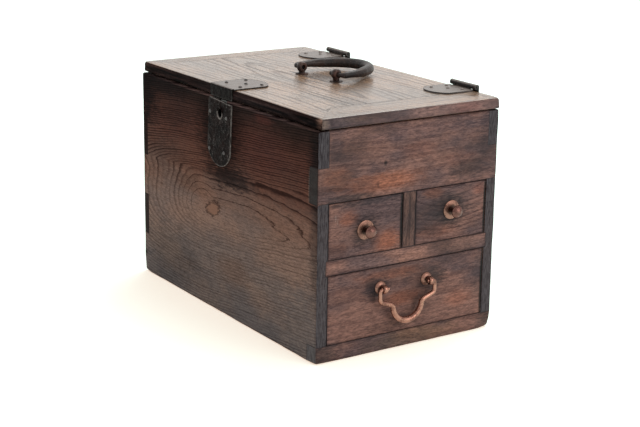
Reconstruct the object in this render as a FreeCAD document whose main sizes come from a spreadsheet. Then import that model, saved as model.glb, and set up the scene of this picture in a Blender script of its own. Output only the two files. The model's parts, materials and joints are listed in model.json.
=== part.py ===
"""A wooden writing box for brush, ink and paper: a lidded tray over two small drawers and a wide one.

Millimetres. X runs from the lock side to the hinge side, Y from the drawers' front to the
back, Z up. The origin is the centre of the case's underside. The lid is closed, the drawers
are shut, both bails lie down and the lock's bolt is drawn back.
"""
import FreeCAD, Part
import math
import os
import Sketcher

SIZES = {
    # case
    "case_width": 212.0,
    "case_depth": 348.0,
    "case_height": 225.0,
    "side_thickness": 12.0,
    "back_thickness": 10.0,
    "bottom_thickness": 9.0,
    "front_thickness": 14.0,
    "sill_height": 17.0,
    "sill_depth": 15.0,
    "rail_low": 86.0,
    "rail_height": 15.0,
    "rail_housing": 2.0,
    "panel_low": 156.0,
    "shelf_thickness": 7.0,
    "floor_thickness": 7.0,
    "board_groove": 3.0,
    "divider_width": 14.6,
    "divider_offset": 0.35,
    "divider_thickness": 7.0,
    "tenon_length": 5.0,
    "tenon_width": 8.0,
    "tenon_depth": 6.0,
    "runner_width": 12.0,
    "case_edge_round": 1.0,
    "cut_overrun": 2.0,
    # drawers
    "drawer_side_gap": 0.8,
    "drawer_top_gap": 0.8,
    "drawer_under_gap": 0.3,
    "drawer_back_gap": 3.0,
    "drawer_edge_round": 0.8,
    "small_front_thickness": 12.0,
    "small_side_thickness": 7.0,
    "small_bottom_thickness": 5.0,
    "small_lap": 6.0,
    "small_back_drop": 5.0,
    "large_front_thickness": 13.0,
    "large_side_thickness": 8.0,
    "large_bottom_thickness": 6.0,
    "large_lap": 6.5,
    "large_back_drop": 6.0,
    # knobs of the small drawers
    "left_knob_x": 51.7,
    "right_knob_x": 50.5,
    "left_knob_drop": 2.75,
    "right_knob_rise": 2.75,
    "knob_plate_radius": 9.4,
    "knob_plate_rim": 0.8,
    "knob_plate_crown": 1.8,
    "knob_neck_radius": 2.6,
    "knob_neck_length": 5.5,
    "knob_head_radius": 6.6,
    "knob_head_length": 6.5,
    "knob_brim_height": 2.6,
    "knob_flare_radius": 9.0,
    "knob_shank_radius": 1.8,
    "knob_clench_radius": 4.0,
    "knob_clench_height": 1.6,
    # pull of the large drawer
    "pull_centre_x": -5.0,
    "pull_height": 65.0,
    "pull_spacing": 55.0,
    "pull_stand_off": 7.4,
    "pull_eye_radius": 4.3,
    "pull_eye_thickness": 4.6,
    "pull_neck_radius": 2.4,
    "pull_shank_radius": 1.6,
    "pull_clench_radius": 3.6,
    "pull_clench_height": 1.4,
    "pull_plate_radius": 6.6,
    "pull_plate_rim": 0.8,
    "pull_plate_crown": 3.3,
    "pull_end_radius": 2.0,
    "pull_grip_radius": 2.8,
    "pull_arm_offset": 5.1,
    "pull_end_reach": 4.4,
    "pull_shoulder_drop": 12.0,
    "pull_shoulder_slope": 5.5,
    "pull_bow_half_width": 17.2,
    "pull_drop": 35.2,
    "pull_bend_radius": 4.5,
    "pull_neck_bend": 5.0,
    "pull_eye_bend": 2.6,
    # lid
    "lid_gap": 1.3,
    "lid_thickness": 10.9,
    "lid_left_inset": 2.0,
    "lid_right_inset": 1.0,
    "lid_front_overhang": 2.3,
    "lid_front_cap": 39.5,
    "lid_front_mitre": 36.0,
    "lid_rear_cap": 25.0,
    "lid_rear_mitre": 24.0,
    "tongue_length": 12.0,
    "tongue_thickness": 4.0,
    "lid_edge_round": 2.0,
    # hinges
    "leaf_thickness": 1.4,
    "hinge_pin_radius": 1.3,
    "hinge_pin_clearance": 0.05,
    "hinge_pin_end": 0.6,
    "hinge_width": 40.4,
    "outer_knuckle": 9.0,
    "knuckle_gap": 0.3,
    "leaf_notch": 1.0,
    "lid_leaf_reach": 40.4,
    "case_leaf_drop": 46.0,
    "leaf_tip_rise": 10.0,
    "front_hinge_inset": 53.7,
    "rear_hinge_inset": 68.8,
    "front_leaf_shift": 1.5,
    "rear_leaf_shift": 6.5,
    "hinge_lift": 1.0,
    # nails
    "nail_head_radius": 2.0,
    "nail_head_height": 1.2,
    "nail_shank_radius": 0.75,
    "nail_length": 8.5,
    # lock
    "lock_plate_width": 45.5,
    "lock_plate_height": 68.0,
    "lock_plate_top_margin": 1.5,
    "lock_plate_bow": 16.5,
    "lock_plate_thickness": 1.3,
    "lock_plate_bevel": 0.5,
    "lock_plate_tilt": 3.6,
    "lock_centre_y": 4.5,
    "lock_plate_y": 2.4,
    "keyhole_radius": 4.5,
    "keyhole_foot_radius": 1.6,
    "keyhole_drop": 12.2,
    "keyhole_foot_drop": 6.0,
    "lock_case_depth": 9.0,
    "lock_case_width": 27.0,
    "lock_case_height": 32.0,
    "lock_case_wall": 1.4,
    "staple_thickness": 4.0,
    "staple_width": 4.8,
    "staple_length": 9.1,
    "staple_eye_width": 2.8,
    "staple_eye_height": 4.0,
    "staple_foot": 1.0,
    "staple_wall": 0.9,
    "staple_slot_gap": 0.8,
    "staple_foot_length": 14.0,
    "staple_outer_gap": 2.4,
    "bolt_clearance": 0.3,
    "bolt_block_length": 2.9,
    "bolt_block_height": 15.0,
    "bolt_nose_gap": 0.9,
    "bolt_nose_length": 6.0,
    # strap on the lid over the lock
    "strap_width": 46.1,
    "strap_edge_width": 42.4,
    "strap_reach": 47.5,
    "strap_tip_rise": 10.5,
    "strap_thickness": 1.3,
    "strap_centre_y": 1.75,
    "strap_edge_y": 3.6,
    "strap_lower_margin": 0.4,
    # handle of the lid
    "handle_centre_x": 8.6,
    "handle_centre_y": -0.6,
    "handle_spacing": 53.7,
    "handle_skew": 7.7,
    "handle_washer_radius": 6.9,
    "handle_washer_rim": 0.7,
    "handle_washer_crown": 1.2,
    "handle_axis_height": 7.4,
    "handle_eye_radius": 5.6,
    "handle_eye_thickness": 6.0,
    "handle_neck_radius": 3.4,
    "handle_shank_radius": 2.0,
    "handle_clench_radius": 4.0,
    "handle_clench_height": 1.6,
    "handle_end_radius": 2.3,
    "handle_arm_radius": 3.3,
    "handle_crook_radius": 4.45,
    "handle_grip_radius": 4.7,
    "handle_arm_offset": 10.7,
    "handle_slide": -4.3,
    "handle_end_cover": 3.9,
    "handle_reach": 58.4,
    "handle_bend_radius": 3.3,
    "handle_shoulder_reach": 22.0,
    "handle_shoulder_bend": 50.0,
    "handle_grip_half_width": 22.0,
    "handle_corner_bend": 33.0,
    "handle_lift": 0.3,
    "post_hole_clearance": 0.1,
    "bail_clearance": 0.08,
}

# shares of the length that they divide, and nail places as shares of their leaf or plate
FRONT_FINGER_SHARE = 0.5
LID_LEAF_NAIL_SHARES = [(0.23, 0.60), (0.69, 0.64), (0.41, 0.04), (0.22, -0.63)]
CASE_LEAF_NAIL_SHARES = [(0.82, 0.62), (0.82, -0.62), (0.52, 0.0), (0.24, 0.0)]
STRAP_NAIL_SHARES = [(0.25, 0.60), (0.74, 0.64), (0.52, -0.12), (0.75, -0.67), (0.23, -0.65)]
LOCK_NAIL_SHARES = [(0.84, 0.22), (-0.59, 0.22), (0.80, 0.79), (-0.47, 0.76)]

BACK_FINGER_COUNT = 5
TOUCH = 1e-4

doc = FreeCAD.newDocument("WritingBox")
sheet = doc.addObject("Spreadsheet::Sheet", "Sizes")
for row, (alias, value) in enumerate(SIZES.items(), start=1):
    sheet.set(f"A{row}", alias.replace("_", " "))
    sheet.set(f"B{row}", str(value))
    sheet.setAlias(f"B{row}", alias)
doc.recompute()


class Size:
    """A length worked out from the sheet: its value now and the expression that it follows."""

    def __init__(self, value, text):
        self.value = float(value)
        self.text = text

    @staticmethod
    def of(other):
        """Wraps a plain factor as a size."""
        return other if isinstance(other, Size) else Size(other, repr(float(other)))

    def __add__(self, other):
        other = Size.of(other)
        return Size(self.value + other.value, f"({self.text} + {other.text})")

    def __sub__(self, other):
        other = Size.of(other)
        return Size(self.value - other.value, f"({self.text} - {other.text})")

    def __mul__(self, other):
        other = Size.of(other)
        return Size(self.value * other.value, f"({self.text} * {other.text})")

    def __truediv__(self, other):
        other = Size.of(other)
        return Size(self.value / other.value, f"({self.text} / {other.text})")

    def __neg__(self):
        return Size(-self.value, f"(0 - {self.text})")


class Sizes:
    """Hands out the sheet's named sizes."""

    def __getattr__(self, alias):
        return Size(getattr(sheet, alias), f"Sizes.{alias}")


def other_side(long_side, short_side):
    """The third side of a right triangle with this longest side and this short one."""
    length = math.sqrt(long_side.value ** 2 - short_side.value ** 2)
    return Size(length, f"sqrt({long_side.text} ^ 2 - {short_side.text} ^ 2)")


def bow_radius(width, rise):
    """The radius of the arc that rises this much over a chord of this width."""
    return (width * width / 4 + rise * rise) / (rise * 2)


def span(one, other):
    """Two places in rising order."""
    return (one, other) if one.value < other.value else (other, one)


S = Sizes()
ZERO = Size(0, "0")
ONE = Size(1, "1")
QUARTER_TURN = Size(90, "90")

LEFT = -S.case_width / 2
RIGHT = S.case_width / 2
FRONT = -S.case_depth / 2
REAR = S.case_depth / 2
TOP = S.case_height
INNER_LEFT = LEFT + S.side_thickness
INNER_RIGHT = RIGHT - S.side_thickness
INNER_REAR = REAR - S.back_thickness
BEHIND_FRONT = FRONT + S.front_thickness
BEHIND_SILL = FRONT + S.sill_depth
RAIL_TOP = S.rail_low + S.rail_height
DIVIDER_X = -S.divider_offset
OVERRUN = S.cut_overrun

LID_LOW = TOP + S.lid_gap
LID_TOP = LID_LOW + S.lid_thickness
LID_LEFT = LEFT + S.lid_left_inset
LID_RIGHT = RIGHT - S.lid_right_inset
LID_FRONT = FRONT - S.lid_front_overhang
LID_REAR = REAR

BARREL_RADIUS = S.hinge_pin_radius + S.hinge_pin_clearance + S.leaf_thickness
HINGE_X = RIGHT + S.leaf_thickness - BARREL_RADIUS
HINGE_Z = LID_TOP + S.hinge_lift + BARREL_RADIUS

pieces = []
features = []


class Arc:
    """An edge of an outline that bends to a point, turning left (+1) or right (-1)."""

    def __init__(self, u, v, radius, turn):
        self.u = u
        self.v = v
        self.radius = radius
        self.turn = turn


class Circle:
    """A round outline."""

    def __init__(self, u, v, radius):
        self.u = u
        self.v = v
        self.radius = radius


def rectangle(u_span, v_span):
    """A four-cornered outline between two spans."""
    (u0, u1), (v0, v1) = u_span, v_span
    return [(u0, v0), (u1, v0), (u1, v1), (u0, v1)]


def tie(sketch, kind, references, size):
    """Adds one dimension to a sketch and ties it to a size."""
    index = sketch.addConstraint(Sketcher.Constraint(kind, *references, size.value))
    sketch.setExpression(f"Constraints[{index}]", size.text)


def arc_geometry(start, end, arc):
    """The arc from start to end, which sketches hold counter-clockwise."""
    chord = end - start
    rise = math.sqrt(max(arc.radius.value ** 2 - (chord.Length / 2) ** 2, 0))
    side = FreeCAD.Vector(-chord.y, chord.x, 0).normalize() * (rise * arc.turn)
    centre = (start + end) / 2 + side
    first, last = (start, end) if arc.turn > 0 else (end, start)
    angles = [math.atan2(point.y - centre.y, point.x - centre.x) for point in (first, last)]
    circle = Part.Circle(centre, FreeCAD.Vector(0, 0, 1), arc.radius.value)
    return Part.ArcOfCircle(circle, *angles)


def draw(sketch, outline):
    """Draws one closed outline in a sketch, each corner tied to its sizes."""
    if isinstance(outline, Circle):
        centre = FreeCAD.Vector(outline.u.value, outline.v.value, 0)
        circle = Part.Circle(centre, FreeCAD.Vector(0, 0, 1), outline.radius.value)
        index = sketch.addGeometry(circle, False)
        tie(sketch, "DistanceX", (-1, 1, index, 3), outline.u)
        tie(sketch, "DistanceY", (-1, 1, index, 3), outline.v)
        tie(sketch, "Radius", (index,), outline.radius)
        return
    places = [(item.u, item.v) if isinstance(item, Arc) else item for item in outline]
    points = [FreeCAD.Vector(u.value, v.value, 0) for u, v in places]
    ends = []
    for number, item in enumerate(outline):
        start, end = points[number - 1], points[number]
        if isinstance(item, Arc):
            index = sketch.addGeometry(arc_geometry(start, end, item), False)
            tie(sketch, "Radius", (index,), item.radius)
            ends.append((index, 1, 2) if item.turn > 0 else (index, 2, 1))
        else:
            index = sketch.addGeometry(Part.LineSegment(start, end), False)
            ends.append((index, 1, 2))
    for number, (index, _, last) in enumerate(ends):
        following, first, _ = ends[(number + 1) % len(ends)]
        sketch.addConstraint(Sketcher.Constraint("Coincident", index, last, following, first))
        tie(sketch, "DistanceX", (-1, 1, index, last), places[number][0])
        tie(sketch, "DistanceY", (-1, 1, index, last), places[number][1])


def lies_at(edge, x=None, y=None, z=None):
    """Whether an edge lies wholly at the given places."""
    box = edge.BoundBox
    spans = ((x, box.XMin, box.XMax), (y, box.YMin, box.YMax), (z, box.ZMin, box.ZMax))
    return all(
        max(abs(low - place.value), abs(high - place.value)) < TOUCH
        for place, low, high in spans
        if place is not None
    )


class Piece:
    """One solid, built feature by feature from sketches on the planes of its own origin.

    Sketches on plane XY use X and Y, on XZ they use X and Z, and on YZ they use Y and Z.
    """

    def __init__(self, label, listed=True):
        self.body = doc.addObject("PartDesign::Body", label)
        self.body.Label = label
        if listed:
            pieces.append(self.body)

    def sketch(self, plane, outlines, place):
        """A sketch parallel to a plane of the origin, at this place along its normal."""
        role = f"{plane}_Plane"
        support = next(item for item in self.body.Origin.OriginFeatures if item.Role == role)
        sketch = self.body.newObject("Sketcher::SketchObject", f"{self.body.Name}_{plane}")
        sketch.AttachmentSupport = [(support, "")]
        sketch.MapMode = "FlatFace"
        offset = -place if plane == "XZ" else place
        sketch.setExpression("AttachmentOffset.Base.z", offset.text)
        for outline in outlines:
            draw(sketch, outline)
        return sketch

    def feature(self, kind, sketch):
        """Adds a feature that uses a sketch."""
        feature = self.body.newObject(f"PartDesign::{kind}", f"{self.body.Name}_{kind}")
        feature.Profile = sketch
        features.append(feature)
        return feature

    def pad(self, plane, outlines, low, high):
        """Adds material between two places along the plane's normal."""
        sketch = self.sketch(plane, outlines, high if plane == "XZ" else low)
        self.feature("Pad", sketch).setExpression("Length", (high - low).text)
        return self

    def pocket(self, plane, outlines, low, high):
        """Cuts material away between two places along the plane's normal."""
        sketch = self.sketch(plane, outlines, low if plane == "XZ" else high)
        self.feature("Pocket", sketch).setExpression("Length", (high - low).text)
        return self

    def turn(self, outline):
        """Turns an outline of radii and heights about the piece's own Z axis."""
        sketch = self.sketch("XZ", [outline], ZERO)
        self.feature("Revolution", sketch).ReferenceAxis = (sketch, ["V_Axis"])
        return self

    def dress(self, kind, size_name, size, wanted):
        """Rounds or bevels the edges that the test picks."""
        doc.recompute()
        base = self.body.Tip
        names = [f"Edge{number}" for number, edge in enumerate(base.Shape.Edges, 1) if wanted(edge)]
        feature = self.body.newObject(f"PartDesign::{kind}", f"{self.body.Name}_{kind}")
        feature.Base = (base, names)
        feature.setExpression(size_name, size.text)
        return self

    def round(self, radius, wanted):
        """Rounds the edges that the test picks."""
        return self.dress("Fillet", "Radius", radius, wanted)

    def bevel(self, size, wanted):
        """Bevels the edges that the test picks."""
        return self.dress("Chamfer", "Size", size, wanted)

    def place(self, x, y, z, axis=None, angle=None):
        """Puts the piece's own origin at a place, turned about an axis."""
        put(self.body, x, y, z, axis, angle)
        return self


def put(item, x, y, z, axis=None, angle=None):
    """Ties an object's place to its sizes."""
    if axis is not None:
        turn = FreeCAD.Rotation(axis, angle.value)
        item.Placement = FreeCAD.Placement(FreeCAD.Vector(x.value, y.value, z.value), turn)
        item.setExpression("Placement.Rotation.Angle", f"{angle.text} * 1deg")
    for letter, size in zip("xyz", (x, y, z)):
        item.setExpression(f"Placement.Base.{letter}", size.text)


def block(label, x_span, y_span, z_span, listed=True):
    """A plain sawn board between three spans."""
    box = doc.addObject("Part::Box", label)
    box.Label = label
    spans = (x_span, y_span, z_span)
    for name, (low, high) in zip(("Length", "Width", "Height"), spans):
        box.setExpression(name, (high - low).text)
    put(box, *(low for low, _ in spans))
    if listed:
        pieces.append(box)
    return box


def group(label, members):
    """Several separate solids that share one node."""
    compound = doc.addObject("Part::Compound", label)
    compound.Label = label
    compound.Links = members
    pieces.append(compound)
    return compound


def shaped(label, shape, x, y, z, axis=None, angle=None):
    """A piece whose form is worked out edge by edge, then put in its place."""
    item = doc.addObject("Part::Feature", label)
    item.Label = label
    item.Shape = shape
    put(item, x, y, z, axis, angle)
    pieces.append(item)
    return item


# the case


def side_board(label, side):
    """A side of the case, notched for the sill, the front panel and the back's fingers."""
    outer = RIGHT * side
    inner = outer - S.side_thickness * side
    finger = S.panel_low + (TOP - S.panel_low) * FRONT_FINGER_SHARE
    outline = [(BEHIND_SILL, ZERO)]
    for number in range(BACK_FINGER_COUNT):
        end = REAR if number % 2 == 0 else INNER_REAR
        outline.append((end, TOP * number / BACK_FINGER_COUNT))
        outline.append((end, TOP * (number + 1) / BACK_FINGER_COUNT))
    outline += [
        (FRONT, TOP),
        (FRONT, finger),
        (BEHIND_FRONT, finger),
        (BEHIND_FRONT, S.panel_low),
        (FRONT, S.panel_low),
        (FRONT, S.sill_height),
        (BEHIND_SILL, S.sill_height),
    ]
    board = Piece(label).pad("YZ", [outline], *span(outer, inner))
    groove = span(inner, inner + S.board_groove * side)
    levels = [
        (RAIL_TOP - S.shelf_thickness, RAIL_TOP),
        (S.panel_low, S.panel_low + S.floor_thickness),
    ]
    board.pocket("XZ", [rectangle(groove, level) for level in levels], BEHIND_FRONT, INNER_REAR)
    housing = rectangle(span(inner, inner + S.rail_housing * side), (S.rail_low, RAIL_TOP))
    board.pocket("XZ", [housing], FRONT, BEHIND_FRONT)
    return board


def lock_mortise(board):
    """Cuts the seat of the lock's case into the lock side, open at the top edge."""
    half = S.lock_case_width / 2
    across = (S.lock_centre_y - half, S.lock_centre_y + half)
    seat = rectangle(across, (TOP - S.lock_case_height, TOP))
    board.pocket("YZ", [seat], LEFT, LEFT + S.lock_case_depth)


def back_board():
    """The back, with two fingers at each end let through the sides."""
    right = []
    for number in range(BACK_FINGER_COUNT):
        end = INNER_RIGHT if number % 2 == 0 else RIGHT
        right.append((end, TOP * number / BACK_FINGER_COUNT))
        right.append((end, TOP * (number + 1) / BACK_FINGER_COUNT))
    left = [(-x, z) for x, z in reversed(right)]
    Piece("case_back_board").pad("XZ", [right + left], INNER_REAR, REAR)


def front_panel():
    """The panel over the small drawers: its lower half runs out through both sides."""
    finger = S.panel_low + (TOP - S.panel_low) * FRONT_FINGER_SHARE
    outline = [
        (LEFT, S.panel_low),
        (RIGHT, S.panel_low),
        (RIGHT, finger),
        (INNER_RIGHT, finger),
        (INNER_RIGHT, TOP),
        (INNER_LEFT, TOP),
        (INNER_LEFT, finger),
        (LEFT, finger),
    ]
    panel = Piece("front_upper_panel").pad("XZ", [outline], FRONT, BEHIND_FRONT)
    socket = rectangle(tenon_x(), tenon_y())
    panel.pocket("XY", [socket], S.panel_low, S.panel_low + S.tenon_length)
    panel.round(S.case_edge_round, lambda edge: lies_at(edge, y=FRONT, z=TOP))


def tenon_x():
    """The width of the divider post's tenons."""
    return (DIVIDER_X - S.tenon_width / 2, DIVIDER_X + S.tenon_width / 2)


def tenon_y():
    """The depth of the divider post's tenons, midway in the post."""
    middle = FRONT + S.front_thickness / 2
    return (middle - S.tenon_depth / 2, middle + S.tenon_depth / 2)


def sill():
    """The bottom rail of the front, which runs out through both sides."""
    outline = rectangle((LEFT, RIGHT), (ZERO, S.sill_height))
    board = Piece("front_sill").pad("XZ", [outline], FRONT, BEHIND_SILL)
    ends = (LEFT, RIGHT)
    board.round(S.case_edge_round, lambda edge: any(lies_at(edge, y=FRONT, x=end) for end in ends))


def rail():
    """The rail between the wide drawer and the small ones, housed in both sides."""
    width = (INNER_LEFT - S.rail_housing, INNER_RIGHT + S.rail_housing)
    outline = rectangle(width, (S.rail_low, RAIL_TOP))
    board = Piece("drawer_rail").pad("XZ", [outline], FRONT, BEHIND_FRONT)
    board.pocket("XY", [rectangle(tenon_x(), tenon_y())], RAIL_TOP - S.tenon_length, RAIL_TOP)


def divider():
    """The post between the small drawers and the thin board behind it."""
    half = S.divider_width / 2
    outline = rectangle((DIVIDER_X - half, DIVIDER_X + half), (RAIL_TOP, S.panel_low))
    post = Piece("divider_post").pad("XZ", [outline], FRONT, BEHIND_FRONT)
    tenons = rectangle(tenon_x(), tenon_y())
    post.pad("XY", [tenons], RAIL_TOP - S.tenon_length, S.panel_low + S.tenon_length)
    thin = S.divider_thickness / 2
    across = (DIVIDER_X - thin, DIVIDER_X + thin)
    block("divider_board", across, (BEHIND_FRONT, INNER_REAR), (RAIL_TOP, S.panel_low))


def inner_boards():
    """The bottom, the shelf under the small drawers, the floor of the tray and the runners."""
    between = (INNER_LEFT, INNER_RIGHT)
    grooved = (INNER_LEFT - S.board_groove, INNER_RIGHT + S.board_groove)
    depth = (BEHIND_FRONT, INNER_REAR)
    block("case_bottom_board", between, (BEHIND_SILL, INNER_REAR), (ZERO, S.bottom_thickness))
    block("middle_shelf", grooved, depth, (RAIL_TOP - S.shelf_thickness, RAIL_TOP))
    block("tray_floor", grooved, depth, (S.panel_low, S.panel_low + S.floor_thickness))
    runner_z = (S.bottom_thickness, S.sill_height)
    runner_y = (BEHIND_SILL, INNER_REAR)
    left_x = (INNER_LEFT, INNER_LEFT + S.runner_width)
    right_x = (INNER_RIGHT - S.runner_width, INNER_RIGHT)
    left = block("left_runner", left_x, runner_y, runner_z, False)
    right = block("right_runner", right_x, runner_y, runner_z, False)
    group("drawer_runners", [left, right])


def build_case():
    """The boards of the case."""
    lock_side = side_board("case_lock_side", -1)
    lock_mortise(lock_side)
    side_board("case_hinge_side", 1)
    back_board()
    front_panel()
    sill()
    rail()
    divider()
    inner_boards()


# the lid


def lid_plan(side_x, mitre_x, front_inner, rear_inner):
    """The corners of one long side of the lid's middle board, front to rear."""
    front_mitre, rear_mitre = mitre_x
    return [
        (front_mitre, front_inner),
        (side_x, LID_FRONT),
        (side_x, LID_REAR),
        (rear_mitre, rear_inner),
    ]


def build_lid_boards():
    """The lid's middle board and the two mitred end caps that hold it flat."""
    front_inner = LID_FRONT + S.lid_front_cap
    rear_inner = LID_REAR - S.lid_rear_cap
    right_mitres = (LID_RIGHT - S.lid_front_mitre, LID_RIGHT - S.lid_rear_mitre)
    left_mitres = (LID_LEFT + S.lid_front_mitre, LID_LEFT + S.lid_rear_mitre)
    right = lid_plan(LID_RIGHT, right_mitres, front_inner, rear_inner)
    left = lid_plan(LID_LEFT, left_mitres, front_inner, rear_inner)
    middle = (LID_LOW + LID_TOP) / 2
    tongue_z = (middle - S.tongue_thickness / 2, middle + S.tongue_thickness / 2)
    tongues = []
    for inner, reach in ((front_inner, -S.tongue_length), (rear_inner, S.tongue_length)):
        ends = (left_mitres[len(tongues)], right_mitres[len(tongues)])
        tongues.append(rectangle(ends, span(inner, inner + reach)))
    front_tongue, rear_tongue = tongues

    panel = Piece("lid_panel").pad("XY", [right + left[::-1]], LID_LOW, LID_TOP)
    panel.pad("XY", [front_tongue], *tongue_z).pad("XY", [rear_tongue], *tongue_z)
    bore = S.handle_shank_radius + S.post_hole_clearance
    panel.pocket("XY", [Circle(x, y, bore) for x, y in handle_post_places()], LID_LOW, LID_TOP)
    sides = (LID_LEFT, LID_RIGHT)
    panel.round(S.lid_edge_round, lambda edge: any(on_lid_edge(edge, x=side) for side in sides))

    front_plan = [(LID_LEFT, LID_FRONT), (LID_RIGHT, LID_FRONT), right[0], left[0]]
    front_cap = Piece("lid_front_cap").pad("XY", [front_plan], LID_LOW, LID_TOP)
    front_cap.pocket("XY", [front_tongue], *tongue_z)
    front_cap.round(S.lid_edge_round, lambda edge: on_lid_edge(edge, y=LID_FRONT))

    rear_plan = [left[3], right[3], (LID_RIGHT, LID_REAR), (LID_LEFT, LID_REAR)]
    rear_cap = Piece("lid_rear_cap").pad("XY", [rear_plan], LID_LOW, LID_TOP)
    rear_cap.pocket("XY", [rear_tongue], *tongue_z)
    rear_cap.round(S.lid_edge_round, lambda edge: on_lid_edge(edge, y=LID_REAR))


def on_lid_edge(edge, **place):
    """Whether an edge is on the lid's top or bottom outline at this place."""
    return lies_at(edge, z=LID_TOP, **place) or lies_at(edge, z=LID_LOW, **place)


# hinges


def hinge(name, middle, shift):
    """A strap hinge: a leaf on the lid, set off from the barrel, one on the case, and a pin."""
    half = S.hinge_width / 2
    low, high = middle - half, middle + half
    mid_low = low + S.outer_knuckle + S.knuckle_gap
    mid_high = high - S.outer_knuckle - S.knuckle_gap
    ring = Circle(HINGE_X, HINGE_Z, BARREL_RADIUS)
    bore = Circle(HINGE_X, HINGE_Z, S.hinge_pin_radius + S.hinge_pin_clearance)
    notch_x = HINGE_X - BARREL_RADIUS - S.leaf_notch
    notch_z = HINGE_Z - BARREL_RADIUS - S.leaf_notch
    radius = bow_radius(S.hinge_width, S.leaf_tip_rise)

    shoulder_x = notch_x - S.lid_leaf_reach + S.leaf_tip_rise
    lid_outline = [
        (notch_x, low + shift),
        (notch_x, mid_low),
        (HINGE_X, mid_low),
        (HINGE_X, mid_high),
        (notch_x, mid_high),
        (notch_x, high + shift),
        (shoulder_x, high + shift),
        Arc(shoulder_x, low + shift, radius, 1),
    ]
    lid_leaf = Piece(f"{name}_lid_leaf")
    lid_leaf.pad("XY", [lid_outline], LID_TOP, LID_TOP + S.leaf_thickness)
    lid_leaf.pad("XZ", [ring], mid_low, mid_high).pocket("XZ", [bore], mid_low, mid_high)

    shoulder_z = HINGE_Z - S.case_leaf_drop + S.leaf_tip_rise
    case_outline = [
        (low, HINGE_Z),
        (low, shoulder_z),
        Arc(high, shoulder_z, radius, 1),
        (high, HINGE_Z),
        (high - S.outer_knuckle, HINGE_Z),
        (high - S.outer_knuckle, notch_z),
        (low + S.outer_knuckle, notch_z),
        (low + S.outer_knuckle, HINGE_Z),
    ]
    case_leaf = Piece(f"{name}_case_leaf")
    case_leaf.pad("YZ", [case_outline], RIGHT, RIGHT + S.leaf_thickness)
    for knuckle in ((low, low + S.outer_knuckle), (high - S.outer_knuckle, high)):
        case_leaf.pad("XZ", [ring], *knuckle)
    case_leaf.pocket("XZ", [bore], low, high)

    pin = doc.addObject("Part::Cylinder", f"{name}_pin")
    pin.Label = f"{name}_pin"
    pin.setExpression("Radius", S.hinge_pin_radius.text)
    pin.setExpression("Height", (S.hinge_width + S.hinge_pin_end * 2).text)
    lie_back = FreeCAD.Vector(-1, 0, 0)
    put(pin, HINGE_X, low - S.hinge_pin_end, HINGE_Z, lie_back, QUARTER_TURN)
    pieces.append(pin)


def nail(place, direction):
    """One forged nail: a domed head over a tapering shank, pointing into the wood."""
    dome = bow_radius(S.nail_head_radius * 2, S.nail_head_height)
    head = Part.makeSphere(dome.value)
    head.translate(FreeCAD.Vector(0, 0, (S.nail_head_height - dome).value))
    keep = Part.makeCylinder(S.nail_head_radius.value, S.nail_head_height.value)
    depth = FreeCAD.Vector(0, 0, -S.nail_length.value)
    shank = Part.makeCone(0, S.nail_shank_radius.value, S.nail_length.value, depth)
    shape = head.common(keep).fuse(shank)
    turn = FreeCAD.Rotation(FreeCAD.Vector(0, 0, 1), direction)
    shape.Placement = FreeCAD.Placement(place, turn)
    return shape


def nails(label, places, direction):
    """A group of nails with one direction, each at its place."""
    shapes = [nail(FreeCAD.Vector(*(size.value for size in place)), direction) for place in places]
    return shaped(label, Part.Compound(shapes), ZERO, ZERO, ZERO)


def build_hinges():
    """Two hinges on the long edge opposite the lock, and their nails."""
    root = HINGE_X - BARREL_RADIUS
    tip = HINGE_Z - S.case_leaf_drop
    lid_places = []
    case_places = []
    middles = {
        "front_hinge": (FRONT + S.front_hinge_inset, S.front_leaf_shift),
        "rear_hinge": (REAR - S.rear_hinge_inset, S.rear_leaf_shift),
    }
    for name, (middle, shift) in middles.items():
        hinge(name, middle, shift)
        for along, across in LID_LEAF_NAIL_SHARES:
            y = middle + shift + S.hinge_width / 2 * across
            lid_places.append((root - S.lid_leaf_reach * along, y, LID_TOP + S.leaf_thickness))
        for along, across in CASE_LEAF_NAIL_SHARES:
            y = middle + S.hinge_width / 2 * across
            case_places.append((RIGHT + S.leaf_thickness, y, tip + (TOP - tip) * along))
    nails("hinge_lid_nails", lid_places, FreeCAD.Vector(0, 0, 1))
    nails("hinge_case_nails", case_places, FreeCAD.Vector(1, 0, 0))


# lock and strap


def build_lock():
    """The lock: plate, case let into the side, sliding bolt, and the staple under the lid."""
    lock_plate()
    lock_case()
    lock_bolt()
    lid_staple()


def lock_plate():
    """The iron plate with a bowed foot and a teardrop keyhole, nailed on slightly askew."""
    half = S.lock_plate_width / 2
    shoulder = S.lock_plate_bow - S.lock_plate_height
    radius = bow_radius(S.lock_plate_width, S.lock_plate_bow)
    outline = [(half, ZERO), (-half, ZERO), (-half, shoulder), Arc(half, shoulder, radius, 1)]
    outside = -S.lock_plate_thickness
    plate = Piece("lock_plate").pad("YZ", [outline], outside, ZERO)
    plate.pocket("YZ", [keyhole_outline()], outside, ZERO)
    plate.bevel(S.lock_plate_bevel, lambda edge: lies_at(edge, x=outside) and is_rim(edge))
    across = FreeCAD.Vector(1, 0, 0)
    plate.place(LEFT, S.lock_plate_y, TOP - S.lock_plate_top_margin, across, S.lock_plate_tilt)


def is_rim(edge):
    """Whether an edge of the lock plate is on its outline and not on the keyhole."""
    half = S.lock_plate_width.value / 2
    box = edge.BoundBox
    reach = max(abs(box.YMin), abs(box.YMax))
    return reach > half - TOUCH


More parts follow.
